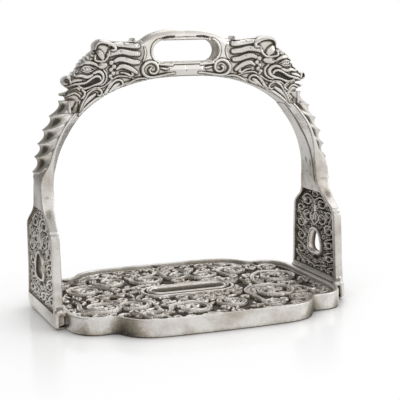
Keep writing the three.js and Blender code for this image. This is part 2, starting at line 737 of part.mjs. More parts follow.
function treadSlits() {
  const place = ([along, across]) => new THREE.Vector2(along * treadEndX, across * treadHalfDepth);
  const volutes = treadVoluteShares.map(({ at, radius, start, turns, tail, width }) => {
    const steps = Math.round(voluteSteps * width);
    return slit(voluteLine(place(at), radius * treadHalfDepth, start, turns, place(tail), steps),
      slitHalfWidth * width);
  });
  const leaves = treadLeafShares.map(({ width, line }) =>
    slit(smoothLine(line.map(place), line.length - 1), slitHalfWidth * width));
  const quarter = [...volutes, ...leaves];
  const flipped = (x, y) => quarter.map((outline) =>
    outline.map((p) => new THREE.Vector2(p.x * x, p.y * y)));
  return [...quarter, ...flipped(-1, 1), ...flipped(1, -1), ...flipped(-1, -1)];
}

function treadGrille() {
  const from = ledgeTopZ + gap;
  const to = grilleTopZ;
  const plate = flatPlate(insetOutline(treadOutline(), rimThickness + gap), from, to);
  const rivetHoles = grilleRivetPlaces().map(([x, y]) =>
    disc(new THREE.Vector2(x, y), grilleRivetRadius + gap, rodSides));
  const seat = stadium(slotHalfLength + slotWall + gap, slotHalfWidth + slotWall + gap);
  const cuts = [seat, ...rivetHoles, ...treadSlits()].map((outline) =>
    flatPlate(outline, from - overrun, to + overrun));
  return cuts.reduce((pierced, cut) => pierced.subtract(cut), plate);
}

function slotFrame() {
  const footZ = ledgeTopZ - ledgeThickness;
  const lipFootZ = grilleTopZ + gap;
  const lipTopZ = lipFootZ + slotLipHeight;
  return bandRound(stadium(slotHalfLength + slotWall + slotLip, slotHalfWidth + slotWall + slotLip), [
    [0, lipFootZ], [0, lipTopZ - rimChamfer], [rimChamfer, lipTopZ],
    [slotLip + slotWall - rimChamfer, lipTopZ], [slotLip + slotWall, lipTopZ - rimChamfer],
    [slotLip + slotWall, footZ], [slotLip, footZ], [slotLip, lipFootZ],
  ]);
}

// Half of the loop's outer line, as shares of its half width and of its height over the bow
const loopShares = [[1, 0.655], [0.995, 0.67], [0.9, 0.845], [0.78, 0.91], [0.62, 0.955], [0.4, 0.985],
  [0.2, 1], [0, 1]];
const clawStartShare = 0.25;
const clawTurns = -1.3;
const clawTailShare = 0.95;

function strapLoop() {
  const upperArc = vectors(loopShares.map(([along, up]) =>
    [along * loopOuterX, bowTopZ + up * (loopTopZ - bowTopZ)]));
  const left = upperArc.slice(0, -1).map((p) => new THREE.Vector2(-p.x, p.y)).reverse();
  const footZ = bowTopZ + gap / 2;
  const outline = [new THREE.Vector2(-loopOuterX, footZ), new THREE.Vector2(loopOuterX, footZ),
    ...upperArc, ...left];
  const shape = new THREE.Shape(insetOutline(outline, loopBevel));
  const slotOutline = stadium(loopSlotHalfLength + loopBevel, loopSlotHalfHeight + loopBevel)
    .map((p) => new THREE.Vector2(p.x, p.y + loopSlotCentreZ));
  shape.holes.push(new THREE.Path(slotOutline));
  const geometry = new THREE.ExtrudeGeometry(shape, {
    depth: 2 * (loopHalfDepth - loopBevel),
    bevelThickness: loopBevel,
    bevelSize: loopBevel,
    bevelSegments: 1,
  });
  geometry.translate(0, 0, loopBevel - loopHalfDepth);
  const body = solid(geometry.rotateX(Math.PI / 2));
  const clawReach = crownHalfDepth + gap + clawDepth;
  const claws = [1, -1].flatMap((side) => {
    const centre = new THREE.Vector2(clawX, bowTopZ);
    const tail = new THREE.Vector2(loopRivetX - loopRivetRadius, bowTopZ + clawRadius * clawTailShare);
    const line = voluteLine(centre, clawRadius, clawStartShare, clawTurns, tail, voluteSteps)
      .map((p) => new THREE.Vector2(side * p.x, p.y));
    return [ribbon(line, clawHalfWidth), disc(line[line.length - 1], clawHalfWidth * voluteKnobShare)];
  }).map((outline) => frontPlate(outline, clawReach));
  const bowRoom = frontPlate(vectors([[-headFootX, archCentreZ], [headFootX, archCentreZ],
    [headFootX, footZ], [-headFootX, footZ]]), crownHalfDepth + gap);
  const rivetHoles = [1, -1].map((side) => rod(loopRivetRadius + gap, bowTopZ - overrun,
    bowTopZ + loopRivetBite).translate([side * loopRivetX, 0, 0]));
  return [bowRoom, ...rivetHoles].reduce((loop, cut) => loop.subtract(cut), joined([body, ...claws]));
}

// The dragon head: flat layers that stand out more and more, alike in front and behind
const headRibbonShares = [
  { width: 1, depth: 1.2, shares: [[0.955, 0.27], [0.873, 0.3], [0.76, 0.318], [0.665, 0.392],
    [0.6, 0.422], [0.555, 0.38]] },
  { width: 1, depth: 1.2, shares: [[0.835, 0.25], [0.79, 0.2], [0.755, 0.21], [0.665, 0.263],
    [0.568, 0.297], [0.522, 0.363], [0.535, 0.437], [0.598, 0.483], [0.665, 0.453], [0.75, 0.387],
    [0.875, 0.355]] },
  { width: 0.9, depth: 1.14, shares: [[0.55, 0.26], [0.48, 0.34], [0.475, 0.433], [0.52, 0.507],
    [0.59, 0.53]] },
  { width: 1.2, depth: 1.26, shares: [[0.855, 0.56], [0.805, 0.62], [0.725, 0.653], [0.64, 0.63],
    [0.605, 0.575]] },
  { width: 1.3, depth: 1.24, shares: [[0.6, 0.84], [0.565, 0.905], [0.495, 0.937], [0.41, 0.92],
    [0.355, 0.867], [0.372, 0.823], [0.41, 0.84]] },
  { width: 1.1, depth: 1.1, shares: [[0.757, 0.203], [0.74, 0.143], [0.755, 0.09]] },
  { width: 1.1, depth: 0.9, shares: [[0.945, 0.28], [0.955, 0.207], [1.01, 0.15]] },
];
const lockShares = [
  [[0.35, 0.905], [0.25, 0.92], [0.15, 0.9], [0.045, 0.87]],
  [[0.41, 0.765], [0.325, 0.805], [0.225, 0.785], [0.125, 0.755], [0.035, 0.76]],
  [[0.37, 0.67], [0.29, 0.69], [0.19, 0.655], [0.1, 0.62], [0.035, 0.62]],
  [[0.36, 0.55], [0.275, 0.565], [0.19, 0.52], [0.11, 0.48], [0.06, 0.465]],
];
const hornRootShares = [[0.605, 0.737], [0.563, 0.777], [0.45, 0.82], [0.44, 0.74], [0.497, 0.66],
  [0.557, 0.68]];
const earShares = [[0.6, 0.573], [0.555, 0.63], [0.478, 0.627], [0.463, 0.57], [0.49, 0.51],
  [0.56, 0.52]];
const tuftShares = [[0.4, 0.613], [0.378, 0.537], [0.4, 0.477], [0.412, 0.417]];
const browBumpEndShares = [[0.86, 0.535], [0.625, 0.815]];
const browBumpCount = 5;
const browBumpRadius = 1.15;
const tuftRadius = 1.2;
const noseRadius = 2.1;
const eyeBallRadius = 1.2;
const eyeLidRadius = 2.4;
const eyeLidShare = 0.62;
const noseShares = [0.965, 0.347];
const eyeShares = [0.73, 0.527];
const browDepthShare = 0.9;
const noseDepthShare = 1.1;
const lockDepthShare = 1.17;
const eyeBallDepthShare = 1.3;

function dragonHead() {
  const layer = (outline, depthShare) => frontPlate(outline, headHalfDepth * depthShare);
  const body = layer(onHead([...jawLineShares].reverse().concat(mouthLineShares.slice().reverse(),
    browLineShares.slice().reverse())), 1);
  const ribbons = headRibbonShares.map(({ width, depth, shares }) =>
    layer(ribbon(smoothLine(onHead(shares), shares.length - 1), lipHalfWidth * width), depth));
  const locks = lockShares.map((shares) =>
    layer(ribbon(smoothLine(onHead(shares), shares.length), lockHalfWidth), lockDepthShare));
  const [first, last] = onHead(browBumpEndShares);
  const bumps = [];
  for (let i = 0; i < browBumpCount; i++) {
    const at = first.clone().lerp(last, i / (browBumpCount - 1));
    bumps.push(layer(disc(at, browBumpRadius), browDepthShare));
  }
  const tufts = onHead(tuftShares).map((at) => layer(disc(at, tuftRadius), lockDepthShare));
  const [nose, eye] = onHead([noseShares, eyeShares]);
  const eyeLid = disc(new THREE.Vector2(), eyeLidRadius, rodSides)
    .map((p) => new THREE.Vector2(eye.x + p.x, eye.y + p.y * eyeLidShare));
  const details = [
    layer(disc(nose, noseRadius, rodSides), noseDepthShare),
    layer(eyeLid, lockDepthShare),
    layer(disc(eye, eyeBallRadius), eyeBallDepthShare),
    layer(onHead(hornRootShares), lockDepthShare),
    layer(onHead(earShares), lockDepthShare),
  ];
  const [pin] = onHead(headPinShares);
  const deep = headHalfDepth * eyeBallDepthShare + overrun;
  const slotDepth = tongueHalfDepth + gap;
  const cuts = [
    frontPlate(insetOutline(onHead(lugShares), -gap), slotDepth),
    frontPlate(insetOutline(onHead(tenonShares), -gap), slotDepth),
    rodAlongY(crownPinRadius + gap, deep, pin.x, pin.y),
    frontPlate(bowOutline(), deep),
  ];
  return cuts.reduce((head, cut) => head.subtract(cut),
    joined([body, ...ribbons, ...locks, ...bumps, ...tufts, ...details]));
}

// Rivets, pins and keys

function footKey() {
  const pinHole = rod(lockPinRadius + gap, rivetZ, footHeight)
    .translate([footOuterX - footThickness / 2, -lockPinY, 0]);
  const rivetHoles = keyRivetPlaces().map((y) =>
    rodAlongX(keyRivetRadius + gap, treadEndX - overrun, footOuterX, y, rivetZ));
  return [pinHole, ...rivetHoles].reduce((key, cut) => key.subtract(cut),
    frontPlate(keyOutline(0), footHalfWidth - keyEndSet));
}

function keyRivet() {
  const headFromX = treadEndX - rimThickness - keyRivetHeadHeight;
  const faceX = footOuterX - footThickness;
  return rodAlongX(keyRivetRadius, headFromX, faceX + keyDepth, 0, rivetZ)
    .add(rodAlongX(keyRivetHeadRadius, headFromX, headFromX + keyRivetHeadHeight, 0, rivetZ));
}

function grilleRivet() {
  const headFootZ = grilleTopZ + gap;
  return rod(grilleRivetRadius, ledgeTopZ - ledgeThickness, headFootZ + grilleRivetHeadHeight)
    .add(rod(grilleRivetHeadRadius, headFootZ, headFootZ + grilleRivetHeadHeight));
}

// Steel in three states: worn plain bands, pierced work and peened fasteners
const wornSteel = new THREE.MeshStandardMaterial({ color: 0xc9c3bd, roughness: 0.38, metalness: 1 });
const piercedSteel = new THREE.MeshStandardMaterial({ color: 0xa49c94, roughness: 0.45, metalness: 1 });
const rivetSteel = new THREE.MeshStandardMaterial({ color: 0xb5afa8, roughness: 0.4, metalness: 1 });

const stirrup = new THREE.Group();

function place(name, body, material, at = [0, 0, 0]) {
  const mesh = new THREE.Mesh(geometryOf(body), material);
  mesh.name = name;
  mesh.position.set(...at);
  stirrup.add(mesh);
}

function placePair(name, body, material, at = [0, 0, 0]) {
  place(`${name}_right`, body, material, at);
  place(`${name}_left`, mirrored(body, 0), material, [-at[0], at[1], at[2]]);
}

place("tread_rim", treadRim(), wornSteel);
place("tread_grille", treadGrille(), piercedSteel);
place("slot_frame", slotFrame(), piercedSteel);
grilleRivetPlaces().forEach(([x, y], i) => {
  place(`grille_rivet_${i + 1}`, grilleRivet(), rivetSteel, [x, y, 0]);
});

placePair("arm", arm(), wornSteel);
placePair("side_grille", vinePanel(), piercedSteel);
placePair("eye_ring", eyeRing(), piercedSteel);
placePair("foot_key", footKey(), rivetSteel);
["front", "back"].forEach((end, i) => {
  placePair(`key_rivet_${end}`, keyRivet(), rivetSteel, [0, keyRivetPlaces()[i], 0]);
});
placePair("lock_pin", rod(lockPinRadius, keyFootZ + keyHeight - lockPinBite, footHeight - gap), rivetSteel,
  [footOuterX - footThickness / 2, -lockPinY, 0]);

placePair("bow", bowHalf(), wornSteel);
place("strap_loop", strapLoop(), wornSteel);
placePair("loop_rivet", rod(loopRivetRadius, bowTopZ - loopRivetBite + gap, bowTopZ + loopRivetBite - gap),
  rivetSteel, [loopRivetX, 0, 0]);
placePair("dragon_head", dragonHead(), wornSteel);
const [headPinAt] = onHead(headPinShares);
placePair("head_pin", rodAlongY(crownPinRadius, headHalfDepth + crownPinSet, 0, 0), rivetSteel,
  [headPinAt.x, 0, headPinAt.y]);
const [neckRivetAt] = onHead(neckRivetShares);
placePair("neck_rivet", rodAlongY(crownPinRadius, collarHalfWidth - crownPinSet, 0, 0), rivetSteel,
  [neckRivetAt.x, 0, neckRivetAt.y]);

export default stirrup;
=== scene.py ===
import math

import bpy
import numpy as np
from mathutils import Matrix, Vector
from mathutils.bvhtree import BVHTree
from mathutils.kdtree import KDTree


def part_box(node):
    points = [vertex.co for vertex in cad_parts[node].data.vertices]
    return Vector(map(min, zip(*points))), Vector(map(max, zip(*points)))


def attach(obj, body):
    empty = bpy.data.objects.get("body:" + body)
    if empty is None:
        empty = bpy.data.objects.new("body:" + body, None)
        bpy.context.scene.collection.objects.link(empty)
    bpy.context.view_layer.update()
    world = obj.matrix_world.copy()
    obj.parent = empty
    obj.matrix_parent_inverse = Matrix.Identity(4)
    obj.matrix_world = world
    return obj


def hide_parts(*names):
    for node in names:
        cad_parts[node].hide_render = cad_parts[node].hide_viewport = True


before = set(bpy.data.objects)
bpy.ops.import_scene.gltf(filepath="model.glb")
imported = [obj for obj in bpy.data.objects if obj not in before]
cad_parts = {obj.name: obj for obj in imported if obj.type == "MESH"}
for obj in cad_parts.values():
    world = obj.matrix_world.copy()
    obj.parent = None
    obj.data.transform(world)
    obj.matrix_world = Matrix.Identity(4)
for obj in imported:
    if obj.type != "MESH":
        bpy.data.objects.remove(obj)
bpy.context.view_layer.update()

# Sizes in millimetres, as in the part: X across, Y along the foot, Z up
MM = 0.001


def far_corner(node):
    """The high corner of a CAD node's box."""
    return [round(value / MM, 2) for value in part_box(node)[1]]


TREAD_X, TREAD_Y, RIM_H = far_corner("tread_rim")
COLLAR_X, COLLAR_Y, _ = far_corner("slot_frame")
SLOT_STRAIGHT = COLLAR_X - COLLAR_Y
LOOP_TOP = far_corner("strap_loop")[2] - 0.06
ARCH_HALF, ARCH_Z, ARCH_RISE, ARCH_POWER = 69.0, 57.6, 57.1, 2.37
FOOT_X, FOOT_THICK, FOOT_H, FOOT_HALF = 75.0, 5.1, 9.0, 26.6
LEG_IN, LEG_OUT = 70.4, 74.5
SHOULDER_Z, BEND_Z, STRAP_Z, LEAF_Z, HOOK_Z, HOOK_X, ARM_TOP = 44.7, 46, 58, 98, 99.3, 55.0, 104.9
SPINE_R, SPINE_X, SPINE_Z, SPINE_START = 60.0, 77.6, 66.0, 75.4
WINDOW_FOOT, WINDOW_TOP, FLANGE = 10.8, 53.0, 2.3
OUTER_FOOT, OUTER_FLANGE, OUTER_EDGE = 7.9, 1.7, 1.85
EYE_Z, EYE_W, EYE_RISE, EYE_TAPER, RING_W, RING_Z = 25.6, 6.2, 5.9, 0.28, 1.9, 1.5
SLOT_A, SLOT_B, SLOT_Z = 16.8, 5.15, 127.05
RIM_T, GAP = 2.5, 0.3
FULL_TURN = 2 * math.pi


# Lines and fields

def spline(points, step=0.35):
    """A smooth line through points. Columns after the first two follow along."""
    p = np.array(points, float)
    p = np.concatenate([[2 * p[0] - p[1]], p, [2 * p[-1] - p[-2]]])
    out = []
    for a, b, c, d in zip(p, p[1:], p[2:], p[3:]):
        k = max(int(math.hypot(*(c - b)[:2]) / step), 1)
        t = (np.arange(k) / k)[:, None]
        out.append(0.5 * (2 * b + (c - a) * t + (2 * a - 5 * b + 4 * c - d) * t ** 2
                          + (3 * b - a - 3 * c + d) * t ** 3))
    return np.concatenate([*out, p[-2:-1]])


def bezier(points, count):
    """A line of two, three or four control points."""
    t = np.linspace(0, 1, count)[:, None]
    order = len(points) - 1
    return sum(math.comb(order, k) * t ** k * (1 - t) ** (order - k) * np.array(p, float)
               for k, p in enumerate(points))


def each_piece(A, B, line):
    """For each piece of a line: its ends, the share along it nearest to each place, and the distance."""
    for p, q in zip(line[:-1], line[1:]):
        d = q - p
        t = np.clip(((A - p[0]) * d[0] + (B - p[1]) * d[1]) / max(d[0] ** 2 + d[1] ** 2, 1e-12), 0, 1)
        yield p, q, t, np.hypot(A - p[0] - t * d[0], B - p[1] - t * d[1])


def inside_distance(A, B, polygon):
    """Distance to a closed outline, above zero inside it."""
    best = np.full(A.shape, 1e9)
    crossed = np.zeros(A.shape, bool)
    for p, q, _, gap in each_piece(A, B, np.concatenate([polygon, polygon[:1]])):
        best = np.minimum(best, gap)
        if p[1] != q[1]:
            hit = (p[1] > B) != (q[1] > B)
            crossed ^= hit & (A < (q[0] - p[0]) * (B - p[1]) / (q[1] - p[1]) + p[0])
    return np.where(crossed, best, -best)


def blurred(field, cells):
    """The field, smoothed by a bell of that many cells on both axes."""
    reach = int(3 * cells) + 1
    weights = np.exp(-0.5 * (np.arange(-reach, reach + 1) / cells) ** 2)
    weights /= weights.sum()
    for axis in (0, 1):
        padded = np.concatenate([np.repeat(field.take([0], axis), reach, axis), field,
                                 np.repeat(field.take([-1], axis), reach, axis)], axis)
        n = field.shape[axis]
        field = sum(w * padded.take(range(k, k + n), axis) for k, w in enumerate(weights))
    return field


def smoothstep(x, low, high):
    t = np.clip((x - low) / (high - low), 0, 1)
    return t * t * (3 - 2 * t)


def bell(x, at, size):
    """One at a place, falling away on both sides of it."""
    return np.exp(-((x - at) / size) ** 2)


def from_table(z, table):
    """The value at a height, from rows of height and value."""
    return float(np.interp(z, *zip(*table)))


class Relief:
    """A carved face as heights over a grid. Strokes are laid on it one over another."""

    def __init__(self, low, high, step, ground):
        self.step = step
        self.a = np.arange(low[0], high[0] + step / 2, step)
        self.b = np.arange(low[1], high[1] + step / 2, step)
        self.A, self.B = np.meshgrid(self.a, self.b, indexing="ij")
        self.h = np.full(self.A.shape, float(ground))
        self.metal = np.full(self.A.shape, -99.0)

    def edge(self, line, reach=2.0):
        """Where a line runs, the distance to its edge, and its half width, which is its third column."""
        reach = reach + line[:, 2].max()
        w = tuple(slice(*np.searchsorted(axis, (places.min() - reach, places.max() + reach)))
                  for axis, places in zip((self.a, self.b), line.T))
        A, B = self.A[w], self.B[w]
        best, radius = np.full(A.shape, 1e9), np.ones(A.shape)
        for p, q, t, gap in each_piece(A, B, line):
            r = p[2] + t * (q[2] - p[2])
            near = gap - r < best
            best[near], radius[near] = (gap - r)[near], r[near]
        return w, best, radius

    def ridge(self, points, level, lift, dip=0.0, groove=0.5, gap=0.28, power=3.0):
        """A raised band. The dip hollows its middle, and the groove sinks beside it."""
        w, e, r = self.edge(spline(points))
        q = np.clip(1 + e / r, 0, 1)
        top = level + lift * np.sqrt(np.clip(1 - q ** power, 0, 1)) - dip * bell(q, 0, 0.42)
        self.h[w] = np.where(e < 0, top, self.h[w] - groove * bell(e, 0, gap))
        self.metal[w] = np.maximum(self.metal[w], -e)

    def groove(self, points, depth):
        w, e, r = self.edge(spline(points))
        self.h[w] -= depth * np.exp(-(0.9 * np.clip(1 + e / r, 0, 9)) ** 4)

    def blob(self, at, size, level, lift, angle=0.0, groove=0.4, flat=2):
        """A domed boss, with a groove round it."""
        c, s = math.cos(math.radians(angle)), math.sin(math.radians(angle))
        da, db = self.A - at[0], self.B - at[1]
        q = np.hypot((da * c + db * s) / size[0], (db * c - da * s) / size[1])
        e = (q - 1) * min(size)
        top = level + lift * np.sqrt(np.clip(1 - q ** flat, 0, 1))
        self.h = np.where(q < 1, np.maximum(top, level), self.h - groove * bell(e, 0, 0.3))
        self.metal = np.maximum(self.metal, -e)

    def swell(self, at, size, lift):
        self.h += lift * bell(self.A, at[0], size[0]) * bell(self.B, at[1], size[1])

    def pit(self, at, radius, depth):
        self.swell(at, (radius, radius), -depth)

    def hollows(self, size, scale):
        """How deep each place lies under its surroundings, from 0 to 1."""
        return np.clip((blurred(self.h, size / self.step) - self.h) / scale + 0.25, 0, 1)

    def mirrored(self, fields):
        """The grid with its other half, where the first axis is below zero, and fields carried over."""
        whole = Relief((0, 0), (1, 1), self.step, 0)
        whole.a = np.concatenate([-self.a[:0:-1], self.a])
        whole.A, whole.B = np.meshgrid(whole.a, self.b, indexing="ij")
        return whole, [np.concatenate([field[:0:-1], field]) for field in fields]


# Meshes

def add_object(name, data):
    obj = bpy.data.objects.new(name, data)
    bpy.context.scene.collection.objects.link(obj)
    return obj


def mesh_object(name, corners, quads, painted_shade_and_stain, sharp):
    """An object from corners in millimetres and faces of four corners."""
    mesh = bpy.data.meshes.new(name)
    corners = np.asarray(corners, np.float32) * MM
    quads = np.asarray(quads, np.int32)
    mesh.vertices.add(len(corners))
    mesh.vertices.foreach_set("co", corners.ravel())
    mesh.loops.add(quads.size)
    mesh.loops.foreach_set("vertex_index", quads.ravel())
    mesh.polygons.add(len(quads))
    mesh.polygons.foreach_set("loop_start", np.arange(0, quads.size, 4, dtype=np.int32))
    mesh.polygons.foreach_set("use_smooth", np.ones(len(quads), bool))
    mesh.update(calc_edges=True)
    if painted_shade_and_stain is not None:
        set_painted_shade_and_stain(mesh, painted_shade_and_stain)
    mesh.set_sharp_from_angle(angle=math.radians(sharp))
    return add_object(name, mesh)


def set_painted_shade_and_stain(mesh, values):
    """Keeps with each corner how much darker its steel is, from 0 to 1: mostly painted shade in hollows,
    creases and corners, with some stains.
    """
    attribute = mesh.attributes.get("painted_shade_and_stain") or mesh.attributes.new("painted_shade_and_stain", "FLOAT", "POINT")
    attribute.data.foreach_set("value", np.asarray(values, np.float32))


def relief_body(name, relief, trim, front, back, place, painted_shade_and_stain, shadow=0.0, sharp=48):
    """A closed body from two height fields over one grid, where trim is above zero.
    front and back give the third coordinate, and place turns (a, b, third) into X, Y, Z."""
    step = relief.step
    keep = trim > -0.5 * step
    cell = keep[:-1, :-1] & keep[1:, :-1] & keep[:-1, 1:] & keep[1:, 1:]
    around = np.zeros(keep.shape, int)
    for i in (0, 1):
        for j in (0, 1):
            around[i:i + cell.shape[0], j:j + cell.shape[1]] += cell
    used, border = around > 0, (around > 0) & (around < 4)
    ga, gb = np.gradient(trim, step)
    norm = np.maximum(ga ** 2 + gb ** 2, 0.25)
    move = np.where(border, np.clip(-trim, -0.7 * step, 0.7 * step) / norm, 0)
    A, B = relief.A + move * ga, relief.B + move * gb
    index = np.full(keep.shape, -1)
    count = int(used.sum())
    index[used] = np.arange(count)
    c = [index[:-1, :-1][cell], index[1:, :-1][cell], index[1:, 1:][cell], index[:-1, 1:][cell]]
    quads = [np.stack(c, 1), np.stack(c[::-1], 1) + count]
    # The walls have two rings between front and back, which lie in the shade
    rim = used & border
    wall, turns = np.full(count, -1), int(rim.sum())
    wall[index[rim]] = np.arange(turns) + 2 * count
    low, high = front[rim] * 0.8 + back[rim] * 0.2, front[rim] * 0.2 + back[rim] * 0.8
    corners = np.concatenate([place(A[used], B[used], front[used]), place(A[used], B[used], back[used]),
                              place(A[rim], B[rim], low), place(A[rim], B[rim], high)])
    pad = np.pad(cell, 1)
    for da, db, s, t in ((0, -1, 0, 1), (1, 0, 1, 2), (0, 1, 2, 3), (-1, 0, 3, 0)):
        beside = pad[1 + da:pad.shape[0] - 1 + da, 1 + db:pad.shape[1] - 1 + db][cell]
        p, q = c[s][~beside], c[t][~beside]
        steps = [(q, p), (wall[q], wall[p]), (wall[q] + turns, wall[p] + turns), (q + count, p + count)]
        for (a, b), (e, d) in zip(steps, steps[1:]):
            quads.append(np.stack([a, b, d, e], 1))
    shade = np.concatenate([painted_shade_and_stain[used], painted_shade_and_stain[used], np.full(2 * turns, shadow)])
    return outward(mesh_object(name, corners, np.concatenate(quads), shade, sharp))


def corner_places(mesh):
    """X, Y and Z of a mesh's corners, in millimetres."""
    co = np.empty(len(mesh.vertices) * 3, np.float32)
    mesh.vertices.foreach_get("co", co)
    return co.reshape(-1, 3).astype(float).T / MM


def outward(obj):
    """Turns the faces out, if the body's volume says that they look in."""
    mesh = obj.data
    mesh.calc_loop_triangles()
    tri = np.empty(len(mesh.loop_triangles) * 3, np.int32)
    mesh.loop_triangles.foreach_get("vertices", tri)
    t = corner_places(mesh).T[tri.reshape(-1, 3)]
    if np.einsum("ij,ij->i", t[:, 0], np.cross(t[:, 1], t[:, 2])).sum() < 0:
        mesh.flip_normals()
    return obj


def ring_quads(rings, count, closed=False):
    """Faces between rings of as many corners."""
    k = np.arange(count)
    after = (k + 1) % count
    steps = range(rings if closed else rings - 1)
    return np.concatenate([np.stack([r * count + k, r * count + after, (r + 1) % rings * count + after,
                                     (r + 1) % rings * count + k], 1) for r in steps])


def sweep(name, outline, section, place, painted_shade_and_stain):
    """A closed band: a section of (inset, height) carried round a closed outline."""
    outline = np.asarray(outline, float)
    after, before = np.roll(outline, -1, 0), np.roll(outline, 1, 0)
    along = (after - before) / np.linalg.norm(after - before, axis=1)[:, None]
    area = np.sum(outline[:, 0] * after[:, 1] - after[:, 0] * outline[:, 1])
    inward = np.stack([-along[:, 1], along[:, 0]], 1) * np.sign(area)
    n = len(outline)
    corners = np.concatenate([place(*(outline + inward * inset).T, np.full(n, height))
                              for inset, height in section])
    return outward(mesh_object(name, corners, ring_quads(len(section), n, True), np.repeat(painted_shade_and_stain, n), 60))


def loft(name, rings):
    """A body through rings of as many corners, closed at both ends."""
    rings = np.asarray(rings, float)
    m, n = rings.shape[:2]
    corners = np.concatenate([rings.reshape(-1, 3), [rings[0].mean(0), rings[-1].mean(0)]])
    quads = [ring_quads(m, n)]
    j = np.arange(0, n, 2)
    for ring, middle in ((0, m * n), (m - 1, m * n + 1)):
        quads.append(np.stack([ring * n + j, ring * n + j + 1, ring * n + (j + 2) % n,
                               np.full(n // 2, middle)], 1))
    return outward(mesh_object(name, corners, np.concatenate(quads), None, 40))


def rounded(points, steps):
    """A closed section with its corners rounded. Each corner is (a, b, radius)."""
    out = []
    for before, at, after in zip(points[-1:] + points, points, points[1:] + points[:1]):
        p, back, ahead = np.array(at[:2]), np.subtract(before, at)[:2], np.subtract(after, at)[:2]
        lb, la = np.linalg.norm(back), np.linalg.norm(ahead)
        r = min(at[2], 0.45 * lb, 0.45 * la)
        out.append(bezier([p + back / lb * r, p, p + ahead / la * r], steps))
    return np.concatenate(out)


def arch_share(share):
    """The arch's height share at a share of its half width, and the other way round."""
    return np.clip(1 - share ** ARCH_POWER, 0, 1) ** (1 / ARCH_POWER)


def arch_x(z):
    return ARCH_HALF * arch_share(np.maximum(z - ARCH_Z, 0) / ARCH_RISE)


def arch_z(x):
    return ARCH_Z + ARCH_RISE * arch_share(np.abs(x) / ARCH_HALF)


def upright(a, b, third):
    return np.stack([a, third, b], -1)


def flat(a, b, third):
    return np.stack([a, b, third], -1)


def sideways(a, b, third):
    return np.stack([third, a, b], -1)


def to_the_left(right, name=None):
    """The same piece on the other side of the middle plane of X."""
    mesh = right.data.copy()
    mesh.name = name or right.name.replace("_right", "_left")
    mesh.transform(Matrix.Scale(-1, 4, (1, 0, 0)))
    mesh.flip_normals()
    return add_object(mesh.name, mesh)


def reshape(obj, change):
    """Moves the corners of a body. The change takes and gives X, Y and Z in millimetres."""
    places = np.stack(change(*corner_places(obj.data)), 1) * MM
    obj.data.vertices.foreach_set("co", places.astype(np.float32).ravel())
    obj.data.update()


def finish_piece(obj, node, material):
    obj.data.materials.clear()
    obj.data.materials.append(material)
    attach(obj, "root")
    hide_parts(node)


def finish_sides(right, node, material, left_change, right_change=None):
    """Finishes a right piece and its like on the left, each with its own small change of shape."""
    left = to_the_left(right)
    reshape(left, left_change)
    if right_change:
        reshape(right, right_change)
    finish_piece(right, node + "_right", material)
    finish_piece(left, node + "_left", material)


# Steel

class Graph:
    """The nodes of a material or world. A socket or a number can go into any input."""

    def __init__(self, owner):
        owner.use_nodes = True
        self.tree = owner.node_tree
        self.tree.nodes.clear()

    def put(self, value, socket):
        if isinstance(value, bpy.types.NodeSocket):
            self.tree.links.new(value, socket)
        else:
            socket.default_value = value

    def node(self, kind, **inputs):
        node = self.tree.nodes.new("ShaderNode" + kind)
        for name, value in inputs.items():
            self.put(value, node.inputs[name.replace("_", " ")])
        return node

    def chain(self, kind, *values, operation=None):
        """A node whose inputs are filled in their order."""
        node = self.node(kind)
        if operation:
            node.operation = operation
        for value, socket in zip(values, node.inputs):
            self.put(value, socket)
        return node.outputs

    def math(self, operation, *values):
        return self.chain("Math", *values, operation=operation)[0]

    def vector(self, operation, *values):
        return self.chain("VectorMath", *values, operation=operation)

    def span(self, value, from_low, from_high, to_low, to_high):
        return self.node("MapRange", Value=value, From_Min=from_low, From_Max=from_high, To_Min=to_low,
                         To_Max=to_high).outputs[0]


